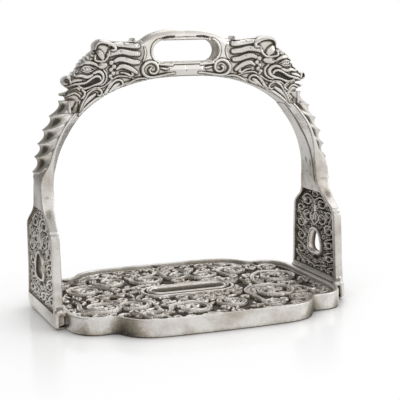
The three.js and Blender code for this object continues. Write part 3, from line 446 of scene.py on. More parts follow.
def steel(name, bright, dark, rough, mottle, oxide, bump, shade=0.5):
    """Worn steel: mottled and finely scratched, with patches of oxide, and painted shade darkening its
    hollows and corners.
    """
    material = bpy.data.materials.new(name)
    g = Graph(material)
    place = g.node("TexCoord").outputs["Object"]
    drawn = g.node("Mapping", Vector=place, Rotation=(0.3, 0.5, 0.9), Scale=(180.0, 2600.0, 900.0)).outputs[0]
    big, fine, grain, scratch = (
        g.node("TexNoise", Vector=vector, Scale=scale, Detail=detail, Roughness=roughness).outputs["Fac"]
        for vector, scale, detail, roughness in ((place, 55.0, 5.0, 0.6), (place, 900.0, 6.0, 0.65),
                                                 (place, 4200.0, 2.0, 0.5), (drawn, 1.0, 3.0, 0.7)))
    painted_shade_and_stain = g.node("Attribute")
    painted_shade_and_stain.attribute_name = "painted_shade_and_stain"
    # Ambient occlusion darkens the steel in its corners: painted shade.
    around = g.node("AmbientOcclusion", Distance=0.0032)
    around.samples = 6
    closed = g.span(around.outputs["AO"], 0.85, 0.3, 0.0, shade)
    # The corner attribute adds painted shade in hollows, creases and corners, and some stains.
    deep = g.math("MAXIMUM", g.span(painted_shade_and_stain.outputs["Fac"], 0.28, 0.85, 0.0, 1.0), closed)
    patch = g.math("MULTIPLY", g.span(fine, 0.3, 0.72, -0.16, 0.2), oxide)
    shade_stain_and_oxide = g.span(g.math("ADD", deep, patch), 0.04, 0.95, 0.0, 1.0)
    ramp = g.node("ValToRGB", Fac=shade_stain_and_oxide)
    stops = ramp.color_ramp.elements
    stops[0].position, stops[0].color = 0.0, (*bright, 1)
    stops[1].position, stops[1].color = 1.0, (*dark, 1)
    stops.new(0.42).color = (bright[0] * 0.56, bright[1] * 0.53, bright[2] * 0.47, 1)
    warm = g.node("MixRGB", Fac=g.span(big, 0.46, 0.68, 0.0, mottle), Color1=ramp.outputs["Color"],
                  Color2=(0.62, 0.57, 0.51, 1))
    warm.blend_type = "MULTIPLY"
    worn = g.math("ADD", g.span(big, 0.3, 0.7, rough - 0.07, rough + 0.09),
                  g.span(scratch, 0.35, 0.75, -0.05, 0.09))
    height = g.math("ADD", g.math("MULTIPLY", fine, 0.6),
                    g.math("ADD", g.math("MULTIPLY", scratch, 0.22), g.math("MULTIPLY", grain, 0.14)))
    dent = g.node("Bump", Strength=bump, Distance=0.00022, Height=height)
    shader = g.node("BsdfPrincipled", Base_Color=warm.outputs["Color"],
                    Metallic=g.span(shade_stain_and_oxide, 0.35, 1.0, 1.0, 0.2), Specular_IOR_Level=0.2,
                    Roughness=g.math("ADD", worn, g.math("MULTIPLY", shade_stain_and_oxide, 0.3)), Normal=dent.outputs[0])
    g.node("OutputMaterial", Surface=shader.outputs[0])
    return material


plain_steel = steel("worn_band_steel", (0.68, 0.66, 0.63), (0.07, 0.062, 0.052), 0.32, 0.95, 0.95, 0.45)
carved_steel = steel("carved_steel", (0.69, 0.67, 0.638), (0.22, 0.203, 0.175), 0.34, 0.5, 0.6, 0.4, 0.34)
pierced_steel = steel("pierced_work_steel", (0.69, 0.661, 0.62), (0.075, 0.063, 0.05), 0.3, 0.5, 0.7, 0.4,
                      0.42)
# The loop's steel is a brighter copy of the carved steel: painted light, for the bright reflection on the
# loop's band.
loop_steel_painted_bright = steel("loop_steel_painted_bright", (0.80, 0.775, 0.735), (0.22, 0.203, 0.175), 0.31, 0.4, 0.5, 0.4, 0.34)
rivet_steel = steel("rivet_steel", (0.30, 0.28, 0.25), (0.05, 0.043, 0.035), 0.42, 0.7, 0.9, 0.5)
key_steel = steel("key_steel", (0.62, 0.59, 0.54), (0.10, 0.088, 0.072), 0.42, 0.8, 1.4, 0.8, 0.2)

# The crown: one carved face, cut into loop, bow halves and heads

crown = Relief((0, 94.5), (65.5, 139.0), 0.25, -0.75)
CA, CB = crown.A, crown.B

# Bow: scrolls and leaves over the arch
arch_border = [(x, float(arch_z(x)) + 1.0, 0.85) for x in np.linspace(57, 5, 24)]
crown.ridge(arch_border, -0.25, 0.5, groove=0.45)
crown.ridge([(53.8, 100.6, .5), (52.2, 103.2, .9), (49.6, 105.6, 1.05), (46.6, 107.6, .7)], -0.5, 0.75)
crown.ridge([(54.6, 99.6, .35), (53.2, 103.2, .5), (51.6, 105.9, .55), (50.2, 108.0, .6), (48.4, 109.5, .62),
             (46.2, 110.3, .62), (44.2, 109.6, .6), (43.4, 108.1, .55), (44.3, 106.9, .5),
             (45.5, 107.3, .4)], -0.1, 0.8)
crown.ridge([(39.6, 108.4, .4), (37.8, 110.0, .9), (36.0, 111.6, .95), (34.6, 112.3, .5)], -0.5, 0.75)
crown.ridge([(41.6, 107.6, .35), (39.6, 110.4, .5), (38.0, 112.6, .58), (36.2, 113.9, .62), (34.2, 114.0, .6),
             (32.9, 112.9, .55), (32.9, 111.5, .5), (33.9, 110.9, .4)], -0.1, 0.8)
crown.ridge([(31.0, 110.7, .3), (27.8, 112.2, .85), (24.0, 112.9, .85), (20.4, 113.1, .35)], -0.55, 0.7)
crown.ridge([(35.6, 108.3, .35), (32.4, 109.9, .5), (29.6, 112.0, .55), (26.4, 113.9, .6), (22.6, 114.4, .55),
             (18.5, 113.9, .35)], -0.2, 0.75)
crown.ridge([(43.2, 106.9, .3), (40.6, 109.9, .45), (38.6, 113.4, .5), (35.6, 115.6, .5), (31.4, 115.7, .5),
             (27.2, 114.6, .4)], -0.35, 0.65)

# Loop: two facets under the slot, the lip round the slot and the spirals
facet = 0.75 - 0.20 * np.abs(CB - 118.0)
crown.h = np.where(CB < 124, facet + (crown.h - facet) * smoothstep(CA, 7.5, 11.5), crown.h)
face = smoothstep(CB, 121.0, 123.5) * smoothstep(-CA, -23.5, -21.5)
crown.h = crown.h * (1 - face) + face * 0.05

# The lip round the strap slot, and the spirals beside it
turns = np.linspace(-0.25, 0.25, 61) * FULL_TURN
lip_r = SLOT_B + 0.75
lip_x = (SLOT_A - SLOT_B) * np.clip(3 * np.cos(turns), 0, 1) + lip_r * np.cos(turns)
crown.ridge(np.stack([lip_x, SLOT_Z + lip_r * np.sin(turns), np.full(61, 0.62)], 1), 0.1, 0.55, gap=0.3)
crown.ridge([(16.6, 121.2, .5), (13.0, 120.7, .5), (9.6, 120.5, .55), (7.4, 120.5, .75)], 0.0, 0.65)
crown.ridge([(13.2, 119.1, .35), (11.0, 118.6, .6), (9.3, 118.5, .3)], -0.1, 0.6)
crown.ridge([(6.4, 116.3, .6), (9.5, 116.0, .55), (13.5, 115.3, .6), (17.8, 114.7, .68), (21.2, 115.6, .75),
             (22.7, 118.2, .8), (21.4, 120.9, .8), (18.6, 122.2, .78), (15.7, 121.2, .7), (14.7, 118.6, .65),
             (16.0, 116.7, .6), (18.2, 116.7, .55), (19.2, 118.1, .5), (18.3, 119.2, .5)], 0.05, 0.85)
crown.pit((16.9, 119.2), 0.7, 0.5)
crown.ridge([(22.2, 122.6, .4), (21.3, 124.6, .55), (20.9, 127.0, .5), (21.4, 129.2, .35)], 0.0, 0.6)
crown.groove([(5.8, 134.1, .3), (9.6, 133.75, .5), (13.2, 132.7, .45)], 1.1)
crown.groove([(0.0, 117.0, .1), (0.05, 118.2, .15), (0.2, 119.9, .1)], 0.4)

# Head: mane, ear, horn, brow, eye, snout, mouth and chin
crown.swell((47.5, 117.5), (6.5, 5.0), 0.55)
crown.swell((57.0, 114.5), (5.0, 3.5), 0.45)
crown.ridge([(41.5, 133.1, .5), (36.5, 132.7, .6), (30.5, 132.3, .65), (25.0, 132.0, .5)], -0.3, 0.7)
crown.ridge([(38.6, 130.8, .9), (35.2, 130.9, 1.1), (31.0, 130.5, 1.2), (27.0, 130.0, 1.3),
             (24.6, 129.9, 1.25)], -0.1, 1.0, dip=0.12)
crown.ridge([(39.4, 126.0, 1.1), (36.2, 127.0, 1.35), (32.4, 127.4, 1.4), (28.6, 126.6, 1.4),
             (24.7, 126.2, 1.3)], -0.05, 1.0, dip=0.12)
crown.ridge([(36.8, 122.9, .9), (33.8, 123.9, 1.3), (30.4, 123.3, 1.35), (27.4, 122.4, 1.35),
             (24.9, 122.2, 1.2)], -0.05, 1.0, dip=0.12)
crown.ridge([(35.6, 119.2, .6), (33.2, 120.5, 1.15), (30.2, 119.9, 1.25), (27.8, 118.6, 1.15),
             (25.8, 117.2, .95)], -0.05, 0.95, dip=0.1)
crown.ridge([(33.6, 117.5, .4), (31.0, 117.0, .6), (28.8, 115.9, .7), (27.4, 116.3, .6),
             (28.2, 117.2, .4)], -0.2, 0.8)
for at in ((24.5, 130.3), (24.6, 126.7), (24.9, 122.6), (33.4, 127.6), (31.6, 131.0), (30.8, 123.9)):
    crown.pit(at, 0.42, 0.8)
for at, size in (((38.2, 122.3), 1.3), ((36.9, 120.4), 1.2), ((38.4, 119.0), 1.15), ((37.4, 117.3), 1.15),
                 ((38.9, 116.0), 1.05), ((38.2, 114.7), 0.85)):
    crown.blob(at, (size, size), -0.1, 0.95)
    crown.pit((at[0] + 0.2, at[1] - 0.1), 0.35, 0.35)
crown.ridge([(52.6, 105.6, .35), (50.8, 109.2, .45), (47.3, 110.9, .5), (43.4, 110.9, .5), (40.0, 112.7, .5),
             (38.6, 113.9, .4)], -0.2, 0.75)
crown.ridge([(47.4, 111.9, .4), (43.4, 112.3, .5), (41.2, 114.3, .55), (41.0, 117.0, .6), (42.6, 119.1, .55)],
            0.0, 0.8)
crown.ridge([(55.9, 112.2, .4), (54.2, 110.9, .65), (52.2, 110.5, .7), (48.6, 111.9, .65), (45.2, 112.8, .75),
             (43.1, 114.7, .85), (43.3, 117.0, .9), (45.6, 118.4, .85), (48.2, 117.6, .7)], 0.15, 0.95)
crown.ridge([(60.4, 111.6, .5), (58.2, 112.5, .65), (55.2, 112.9, .7), (52.0, 113.3, .7), (49.6, 114.8, .72),
             (47.3, 116.1, .72), (45.4, 115.9, .68), (44.7, 114.7, .55)], 0.25, 0.95)
crown.groove([(53.4, 111.7, .35), (50.6, 112.5, .75), (47.9, 113.9, .95), (46.1, 114.3, .7)], 2.2)
crown.ridge([(59.8, 113.5, .5), (57.2, 114.5, .8), (54.4, 114.6, .6)], 0.1, 0.8)
crown.ridge([(57.0, 116.4, .5), (54.2, 116.7, .85), (51.4, 115.9, .9), (48.9, 116.8, .6)], 0.1, 0.8)
crown.blob((57.9, 117.4), (1.25, 1.1), 0.0, 0.9)
crown.blob((59.7, 115.9), (1.1, 1.0), 0.0, 0.8)
crown.blob((56.2, 118.8), (1.0, 1.0), 0.0, 0.8)
crown.ridge([(59.4, 113.2, .5), (59.9, 115.4, .65), (61.6, 116.1, .75), (62.8, 114.7, .75),
             (62.1, 113.0, .65), (60.9, 112.9, .45)], 0.1, 0.95)
crown.pit((61.1, 114.3), 0.5, 0.8)
crown.blob((50.4, 124.9), (3.6, 1.5), 0.1, 0.8, angle=-32)
dot_rng = np.random.default_rng(3)
for k in range(26):
    along, across = dot_rng.uniform(-1, 1), dot_rng.uniform(-1, 1)
    crown.blob((50.9 - 3.9 * along - 0.4 * across, 124.3 + 2.3 * along - 1.1 * across), (0.5, 0.45),
               0.35, 0.45, groove=0.3)
for k in range(6):
    crown.blob((55.2 - 1.55 * k, 121.9 + 1.12 * k), (0.85, 0.8), 0.25, 0.7, groove=0.3)
crown.ridge([(54.6, 121.2, .45), (52.6, 122.6, .75), (50.0, 122.7, .9), (47.4, 121.9, .8),
             (46.0, 120.7, .45)], 0.3, 0.85)
crown.blob((51.2, 119.8), (2.5, 1.35), 0.05, 0.55, angle=6)
crown.ridge([(54.0, 119.4, .28), (52.8, 120.8, .38), (50.8, 121.0, .4), (48.9, 120.3, .36),
             (47.4, 119.4, .28)], 0.2, 0.55, groove=0.35)
crown.ridge([(53.9, 119.1, .26), (52.0, 118.3, .34), (49.9, 118.4, .34), (48.2, 119.1, .28)], 0.15, 0.5,
            groove=0.35)
crown.pit((52.1, 119.9), 0.42, 0.9)
crown.pit((50.7, 119.8), 0.34, 0.7)
crown.blob((43.0, 121.1), (2.9, 1.6), 0.25, 0.6, angle=-8, flat=4)
crown.pit((44.6, 121.4), 0.5, 0.8)
crown.pit((45.3, 121.5), 0.4, 0.6)
crown.ridge([(46.8, 126.2, .5), (47.2, 123.9, .6), (45.0, 123.1, .6), (41.6, 123.4, .65), (39.5, 125.6, .6),
             (38.8, 128.2, .5)], 0.0, 0.85)
crown.blob((43.9, 126.2), (1.7, 2.9), 0.3, 0.55, angle=-38, flat=5)
crown.pit((46.6, 127.6), 0.9, 1.0)
crown.ridge([(46.9, 129.0, .7), (46.3, 131.1, .95), (44.2, 132.5, 1.1), (41.2, 132.4, 1.1),
             (38.4, 131.4, 1.0), (36.3, 129.9, .85), (36.3, 128.4, .75), (37.9, 128.2, .65)], 0.4, 1.2)
crown.blob((25.9, 133.2), (1.2, 0.95), -0.2, 0.8)
crown.ridge([(63.2, 108.3, .5), (61.5, 108.4, .6), (60.0, 109.5, .5)], -0.3, 0.8)
crown.ridge([(58.0, 110.4, .45), (56.0, 111.0, .5), (54.6, 109.9, .4)], -0.4, 0.8)
crown.ridge([(60.4, 106.9, .4), (58.6, 108.2, .6), (56.6, 108.6, .6), (54.8, 107.6, .5), (53.9, 106.2, .4)],
            -0.35, 0.8)
crown.ridge([(53.4, 110.0, .45), (51.8, 108.6, .65), (52.2, 106.9, .6), (53.6, 105.9, .4)], -0.1, 0.85)

# A dip above the arm's top, which the crown's painted shade darkens
crown.swell((57.8, 105.0), (3.0, 1.0), -1.0)

# Outer lines of the crown
head_line = spline([(21.8, 133.2), (23.4, 132.7), (24.7, 132.7), (25.9, 134.3), (27.1, 132.9), (31.6, 132.6),
                    (35.0, 132.9), (38.0, 133.3), (41.0, 133.9), (44.0, 133.8), (46.4, 132.6), (47.6, 130.8),
                    (47.7, 129.0), (48.9, 127.9), (50.2, 127.3), (51.0, 126.2), (52.2, 126.0), (52.9, 124.9),
                    (54.1, 124.6), (54.5, 123.3), (55.6, 122.8), (55.9, 121.3), (56.9, 120.4), (57.2, 119.1),
                    (58.5, 118.8), (59.1, 117.4), (60.3, 117.2), (61.6, 117.0), (63.2, 116.0), (63.7, 114.5),
                    (63.1, 112.8), (61.8, 111.9), (60.8, 111.2), (59.6, 110.5), (60.3, 109.7), (62.2, 109.2),
                    (63.8, 108.7), (63.6, 107.6), (61.9, 107.4), (61.2, 106.4), (61.2, 104.6)],
                   step=0.5)[:, :2]
head_line -= np.stack([0.9 * smoothstep(head_line[:, 0], 42, 54), np.full(len(head_line), 0.4)], 1)
jaw_line = np.array([(52.5, 106.4), (50.7, 109.6), (47.1, 111.05), (43.4, 110.8), (39.1, 113.2),
                     (37.7, 114.8), (33.1, 116.1), (28.1, 116.5), (22.1, 117.6)])
loop_line = spline([(0, LOOP_TOP), (4.4, LOOP_TOP), (8.7, 137.6), (13.5, 136.7), (17.0, 135.6), (19.6, 134.3),
                    (21.4, 132.9), (21.8, 132.4)], 0.6)
arch_line = np.array([(x, float(arch_z(x))) for x in np.linspace(57.5, -3, 60)])
shell = inside_distance(CA, CB, np.concatenate([[(-3, LOOP_TOP)], loop_line, head_line,
                                                [(61.2, 103.0), (58, 98)], arch_line]))
slot = np.hypot(np.maximum(np.abs(CA) - (SLOT_A - SLOT_B), 0), CB - SLOT_Z) - SLOT_B

# Where the crown is parted: the heads stand beside the loop, and the bow lies under both
JOINT_X, JOINT_Z, HEAD_FOOT = 21.95, 117.9, (54.5, 104.6)
head_area = inside_distance(CA, CB, np.concatenate([[
    (JOINT_X, JOINT_Z - 0.2), (JOINT_X, 140), (66, 140), (66, HEAD_FOOT[1]), HEAD_FOOT], jaw_line]))
bow_area = inside_distance(CA, CB, np.concatenate([
    [(-2, JOINT_Z), (JOINT_X, JOINT_Z)], jaw_line[::-1],
    [HEAD_FOOT, (54.7, 102.3), (55.1, 99.4), (55.1, 90), (-2, 90)]]))
loop_area = np.minimum(CB - JOINT_Z - 0.05, JOINT_X - 0.05 - CA)


def rolled(distance, radius):
    """How far a rounded edge falls away, by the distance from it."""
    d = np.clip(distance, 0, radius)
    return radius - np.sqrt(np.maximum(radius ** 2 - (radius - d) ** 2, 0))


# The crown is thicker towards the heads, with sharp edges along the arch and round ones elsewhere
thickness = 5.3 + (CA - 22.1) * 0.028
near_arch = bell(np.clip(CB - arch_z(CA), 0, 99), 0, 5.0)
edge_radius = (3.4 + 1.2 * smoothstep(CA, 26, 34)) * (1 - near_arch) + 0.9 * near_arch
edge_radius = edge_radius + 1.2 * smoothstep(CB, 130, 134) * smoothstep(-CA, -24, -20)
fall = rolled(shell, edge_radius) + rolled(slot, 0.9)
carved = np.maximum(thickness + np.clip(crown.h, -2.6, 1.6) - fall, 0.5)
# Painted shade: the crown's steel is darker where it lies under its surroundings.
crown_shade = crown.hollows(0.75, 1.05)


def crown_piece(name, area, both=False):
    relief, fields = crown, [np.minimum.reduce([area, shell, slot]), carved, crown_shade]
    if both:
        relief, fields = crown.mirrored(fields)
    trim, front, painted_shade_and_stain = fields
    return relief_body(name, relief, trim, -front, front, upright, painted_shade_and_stain, 0.5 if both else 0.0, 62)


def right_way(x, y, z):
    """The right head is longer and hangs a little."""
    out = smoothstep(x, 38, 50) * smoothstep(z, 108, 113)
    return x + 1.5 * out, y, z - 1.2 * smoothstep(x, 51, 60) * smoothstep(z, 108, 113)


def left_way(x, y, z):
    """The left head is shorter and thinner at the back."""
    thin = smoothstep(-x, 34, 46) * (y > 0)
    return x + 1.0 * smoothstep(-x, 40, 46) * smoothstep(z, 108, 113), y * (1 - 0.55 * thin), z


def left_leg(x, y, z):
    """The left leg is thicker at the back."""
    return x - 2.0 * (y + 26.5) / 53 * (1 - smoothstep(z, 42, 56)) * smoothstep(-x, 70.5, 73.5), y, z


for part, area in (("dragon_head", head_area), ("bow", bow_area)):
    right = crown_piece("carved_" + part + "_right", area)
    finish_sides(right, part, carved_steel, left_way, right_way)
finish_piece(crown_piece("carved_strap_loop", loop_area, True), "strap_loop", loop_steel_painted_bright)

# Arms: tables of height and half depth, width or depth
SHOULDER = [(0, 26.2), (9, 26.2), (30, 25.2), (41, 24.5), (43.9, 24.1), (45, 23.3), (46.2, 21.8),
            (47.5, 19.8), (48.7, 17.7), (50, 15.7), (51.5, 13.9), (54, 11.8), (56.4, 10.7), (59, 9.7),
            (62, 9.0), (66, 8.5), (70, 8.1), (80, 7.8), (94, 7.3), (99, 6.7), (104.8, 6.3)]
FINE_Z = np.arange(0, 112, 0.25)
FINE_HALF = blurred(np.interp(FINE_Z, *zip(*SHOULDER))[:, None], 4.0)[:, 0]
LAND = [(58, 6.6), (66, 6.6), (69, 6.1), (71.2, 5.2), (73.5, 4.1), (76, 3.5), (83, 3.4), (98, 3.7),
        (104.8, 4.4)]
BAND = [(0, 74.1), (1.6, 75), (9, 74.9), (20, 74.6), (45, 74.7), (58, 75.4)]
FACET = [(60, 0.05), (66, 0.2), (72, 0.9), (78, 2.0), (84, 3.0), (90, 3.5), (104, 3.6)]
CREST = [(60, 9), (65, 7.6), (73.8, 6.4), (79.8, 5.0), (86, 4.3), (91, 4.4), (98, 4.7), (104, 4.8)]
# Stains of the inner face, and painted shade beside its crease (the two long marks at Z 87 and 95): place and
# size in Y and Z, and strength
INNER_STAINS_AND_SHADE = [(-2.6, 87, 1.3, 6.5, 0.6), (-2.0, 95, 1.2, 5.0, 0.45), (1.5, 69, 1.1, 2.2, 0.85),
          (-3.8, 68, 1.0, 2.5, 0.85), (2.0, 63, 1.3, 1.0, 0.7), (-3.0, 61.5, 1.2, 1.2, 0.7),
          (4.5, 74, 0.9, 2.5, 0.5), (0.0, 78, 1.6, 3.0, 0.4)]
# Painted dark reflections on the front of the neck, and painted shade at the shoulder's notch: height, size
# and strength
FRONT_PAINTED_DARKS = [(52.6, 3.4, 0.58), (60.0, 1.5, 0.46), (44.6, 0.7, 0.4)]
EDGE_R, FIN_DEPTH, TOE_R, HEEL_R = 0.7, 2.2, 2.2, 6.5
KEY_LOW, KEY_HIGH, KEY_THICK, CLEAR = 1.0, 7.4, 3.9, 4.5


def arm_half(z):
    """Half the arm's depth at a height."""
    return float(np.interp(z, FINE_Z, FINE_HALF))


def spine(z):
    """How far out the tips of the spine reach."""
    return SPINE_X - SPINE_R + math.sqrt(SPINE_R ** 2 - (z - SPINE_Z) ** 2)


def fin_depth(z, tips):
    """How far the spine lies back from its tips: a scoop between every two."""
    if z < tips[0]:
        return 0.3 * bell(z, tips[0] - 1.1, 0.7)
    k = min(int(np.searchsorted(tips, z, side="right")) - 1, len(tips) - 2)
    u = (z - tips[k]) / (tips[k + 1] - tips[k])
    return 0.0 if u > 1 else math.sin(math.pi * u ** 1.15) ** 0.7


def round_foot(z, radius):
    """How far the foot's end lies back near the ground."""
    low = 1 - min(z, radius) / radius
    return radius * (1 - math.sqrt(1 - low ** 2))


def stain_and_shade(y, z):
    """Old oxide on the inner face, and painted shade beside its crease."""
    return max(k * bell(y, a, ra) * bell(z, b, rb) for a, b, ra, rb, k in INNER_STAINS_AND_SHADE)


def arm_reach(z, tips, inward):
    """The arm at a height: its half depths, inner face, band, ridge, facet and crest."""
    front = back = arm_half(z)
    if z < FOOT_H:
        front, back = FOOT_HALF - round_foot(z, TOE_R), FOOT_HALF - round_foot(z, HEEL_R)
    front -= 0.6 * bell(z, SHOULDER_Z + 0.1, 0.65)
    inner = FOOT_X - FOOT_THICK if z < FOOT_H else LEG_IN
    if z > BEND_Z:
        inner += (float(arch_x(max(z, STRAP_Z))) - LEG_IN) * float(smoothstep(z, BEND_Z, STRAP_Z + 1))
    set_in = from_table(z, inward)
    inner -= set_in
    if z > HOOK_Z:
        inner = max(inner, HOOK_X)
    band = ridge = from_table(z, BAND)
    if z > STRAP_Z:
        band = min(band + (z - STRAP_Z) * 0.02, inner + from_table(z, LAND) + 0.7 * set_in)
        climb = min((z - STRAP_Z) / (tips[0] - STRAP_Z), 1) ** 1.4
        ridge = max(SPINE_START + (spine(max(z, tips[0])) - SPINE_START) * climb, band)
    return front, back, inner, band, ridge, from_table(z, FACET), min(from_table(z, CREST), front - 1.7)


def spine_cut(z, t, tips, rise, curve, dark_at):
    """How far the spine's face lies back, and how much shade is painted on it, from t = -1 in front to 1 at
    the back.
    """
    side = abs(t)
    scoop = fin_depth(z - rise * side ** curve * float(smoothstep(z, 66, 74)), tips)
    seam = bell(side, 1, 0.09) if z > tips[0] - 4 else 0.0
    if FOOT_H < z <= STRAP_Z:
        seam = 0.6 * bell(side, 1, 0.12) * float(smoothstep(z, 52, 56))
    # Painted shade in the scoops between the fins; the seam at their boundary gets painted shade too
    dark = scoop * (0.3 + 0.7 * bell(side, dark_at, 0.2)) if z > tips[0] - 2 else 0.0
    depth = FIN_DEPTH * scoop * (1 - 0.5 * side ** 3) if z > STRAP_Z else 0.0
    return depth + 0.4 * seam, min(max(0.8 * seam, dark), 1.0)


def arm_ring(z, tips, inward, **fins):
    """The arm's outline at a height, from the back of its inner face, and the painted shade, painted dark
    reflection and stain of each corner.
    """
    front, back, inner, band, ridge, facet, crest = arm_reach(z, tips, inward)
    crease = float(smoothstep(z, 54, 60)) * (1 - float(smoothstep(z, 99, 102)))
    front_painted_dark = max(k * bell(z, at, size) for at, size, k in FRONT_PAINTED_DARKS)
    low_x, high_x = inner + facet + EDGE_R, max(band - EDGE_R, inner + facet + EDGE_R + 0.05)
    corners, painted_shades = [], []

    # The third value darkens the corner: painted shade, painted dark reflections and stains.
    def add(x, y, depth=0.0):
        corners.append((x, y, z))
        painted_shades.append(depth)

    def edge(x, y, quarter, first=0, last=None):
        for turn in np.linspace(quarter, quarter + 1, 5)[first:last] * math.pi / 2:
            add(x + EDGE_R * math.cos(turn), y + EDGE_R * math.sin(turn))

    for y in np.linspace(back - EDGE_R, 1.7 - crest, 9):
        add(inner, y, stain_and_shade(y, z))
    # Painted shade along the crease between the inner face and the facet
    add(inner, 1.0 - crest, max(0.6 * crease, stain_and_shade(1.0 - crest, z)))
    add(inner + 0.35 * crease, 0.1 - crest, 0.68 * crease)
    for t in (0.12, 0.25, 0.37, 0.5, 0.62, 0.75, 0.87, 1.0):
        # Near its top the facet has a groove that slants as the bow's leaves do, with painted shade in it
        leaf = 0.95 * bell(t, 1.1 - (z - 99.2) / 5.2, 0.16) if z > LEAF_Z else 0.0
        add(inner + facet * t + 0.3 * leaf, -crest - (front - EDGE_R - crest) * t + 0.5 * leaf, leaf)
    edge(low_x, EDGE_R - front, 2, 1)
    for t in np.linspace(0, 1, 5)[1:]:
        add(low_x + (high_x - low_x) * t, -front, front_painted_dark * bell(t, 0.55, 0.6))
    edge(high_x, EDGE_R - front, 3, 1)
    for t in np.linspace(-1, 1, 33)[1:-1]:
        side = high_x + (band - EDGE_R - high_x) * (t + 1) / 2 + EDGE_R
        depth, dark = spine_cut(z, t, tips, **fins)
        y = t * ((front if t < 0 else back) - EDGE_R)
        add(side + (ridge - side) * (1 - abs(t) ** 1.8) - depth, y, dark)
    edge(band - EDGE_R, back - EDGE_R, 0)
    for t in np.linspace(1, 0, 5)[1:]:
        add(inner + EDGE_R + (band - inner - 2 * EDGE_R) * t, back)
    edge(inner + EDGE_R, back - EDGE_R, 1, 1, -1)
    return corners, painted_shades


# Heights of the arm's rings, closer where its shape changes more
levels = np.concatenate([
    [0, 0.12, 0.4, 0.8, 1.3, 1.9, 2.6, 3.6, 5.0, 6.6, 8.2, 8.75, FOOT_H, 9.4, 12], np.linspace(20, 42, 5),
    np.arange(42.8, 66, 0.4), np.arange(66.2, ARM_TOP, 0.35), [ARM_TOP]])


def window_line(inset, foot=WINDOW_FOOT):
    """The opening of the arm's frame, in Y and Z, by its inset from the arm's edge."""
    half = [(arm_half(foot) - inset, foot + inset - FLANGE)]
    top = WINDOW_TOP - (inset - FLANGE)
    for z in np.linspace(SHOULDER_Z - 2, WINDOW_TOP - 0.3, 16):
        half.append((arm_half(z) - inset, min(z, top)))
    half.append((arm_half(WINDOW_TOP) - inset, top))
    return [(float(y), float(z)) for y, z in half] + [(-float(y), float(z)) for y, z in reversed(half)]


def prism_x(outline, low, high):
    """A cutter: an outline in Y and Z, carried along X."""
    n = len(outline)
    mesh = bpy.data.meshes.new("cutter")
    corners = [(x * MM, y * MM, z * MM) for x in (low, high) for y, z in outline]
    faces = [tuple(range(n)), tuple(range(2 * n - 1, n - 1, -1))]
    faces += [(i, i + n, (i + 1) % n + n, (i + 1) % n) for i in range(n)]
    mesh.from_pydata(corners, [], faces)
    return outward(add_object("cutter", mesh))


def combine(obj, operation, *others):
    """Cuts other bodies out of a body or joins them to it, and removes them."""
    for other in others:
        mod = obj.modifiers.new("combine", "BOOLEAN")
        mod.operation, mod.solver, mod.object = operation, "EXACT", other
        mesh = bpy.data.meshes.new_from_object(obj.evaluated_get(bpy.context.evaluated_depsgraph_get()))
        obj.modifiers.clear()
        old, obj.data = obj.data, mesh
        bpy.data.meshes.remove(old)
        bpy.data.objects.remove(other)
    obj.data.set_sharp_from_angle(angle=math.radians(40))


def foot_lip():
    """A bead that bulges out of the foot's front end, from a line of X, Z and radius."""
    line = spline([(73.8, 1.4, 1.0), (73.8, 3.4, 1.25), (73.6, 5.8, 1.15), (73.5, 7.6, 1.5), (72.5, 8.4, 1.6),
                   (71.4, 8.2, 1.3), (70.4, 8.2, 1.4), (69.8, 6.8, .9)], 0.5)
    along = np.gradient(line[:, :2], axis=0)
    along /= np.linalg.norm(along, axis=1)[:, None]
    rings = [[(x - r * math.cos(t) * dz, -FOOT_HALF - 0.1 + r * math.sin(t), z + r * math.cos(t) * dx)
              for t in np.arange(12) / 12 * FULL_TURN] for (x, z, r), (dx, dz) in zip(line, along)]
    return loft("lip", rings[::-1])


def carry_painted_shade_and_stain(obj, places, painted_shades):
    """Gives each corner the painted shade and stain of the nearest place, where one is close."""
    near = KDTree(len(places))
    for index, place in enumerate(places):
        near.insert(place, index)
    near.balance()
    found = [near.find(corner.co) for corner in obj.data.vertices]
    set_painted_shade_and_stain(obj.data, [painted_shades[index] if gap < 0.8 * MM else 0.0 for _, index, gap in found])


def forged_arm(name, **look):
    corners, painted_shades = (np.array(part) for part in zip(*[arm_ring(float(z), **look) for z in levels]))
    body = loft(name, corners)
    key_x, key_y = FOOT_X - FOOT_THICK, FOOT_HALF + 1
    key_way = [(-key_y, KEY_LOW), (key_y, KEY_LOW), (key_y, KEY_HIGH), (-key_y, KEY_HIGH)]
    window = prism_x(window_line(FLANGE), LEG_IN - CLEAR, LEG_IN + 3.3)
    rebate = prism_x(window_line(OUTER_FLANGE, OUTER_FOOT), LEG_IN + 1.4, LEG_OUT + CLEAR)
    combine(body, "DIFFERENCE", window, rebate, prism_x(key_way, key_x - 1, key_x + KEY_THICK))
    combine(body, "UNION", foot_lip())
    carry_painted_shade_and_stain(body, corners.reshape(-1, 3) * MM, painted_shades.ravel())
    return body


arm_right = forged_arm("forged_arm_right", tips=[70.3, 77.1, 83.9, 90.8, 97.6, 104.5],
                       inward=[(0, 0), (50, 0), (60, 1.2), (94, 1.2), (100, 0.2), (112, 0)],
                       rise=4.6, curve=2, dark_at=0.82)
left_shape = forged_arm("left_shape", tips=[71.7, 78.7, 84.9, 91.4, 97.8, 104.5],
                        inward=[(0, 0), (66, 0), (72, 0.3), (78, 0.9), (83, 1.3), (88, 1.6), (94, 1.3),
                                (100, 0.5), (112, 0)], rise=3.9, curve=5, dark_at=0.48)
arm_left = to_the_left(left_shape, "forged_arm_left")
bpy.data.objects.remove(left_shape)
reshape(arm_left, left_leg)
finish_piece(arm_right, "arm_right", plain_steel)
finish_piece(arm_left, "arm_left", plain_steel)


# Pierced work

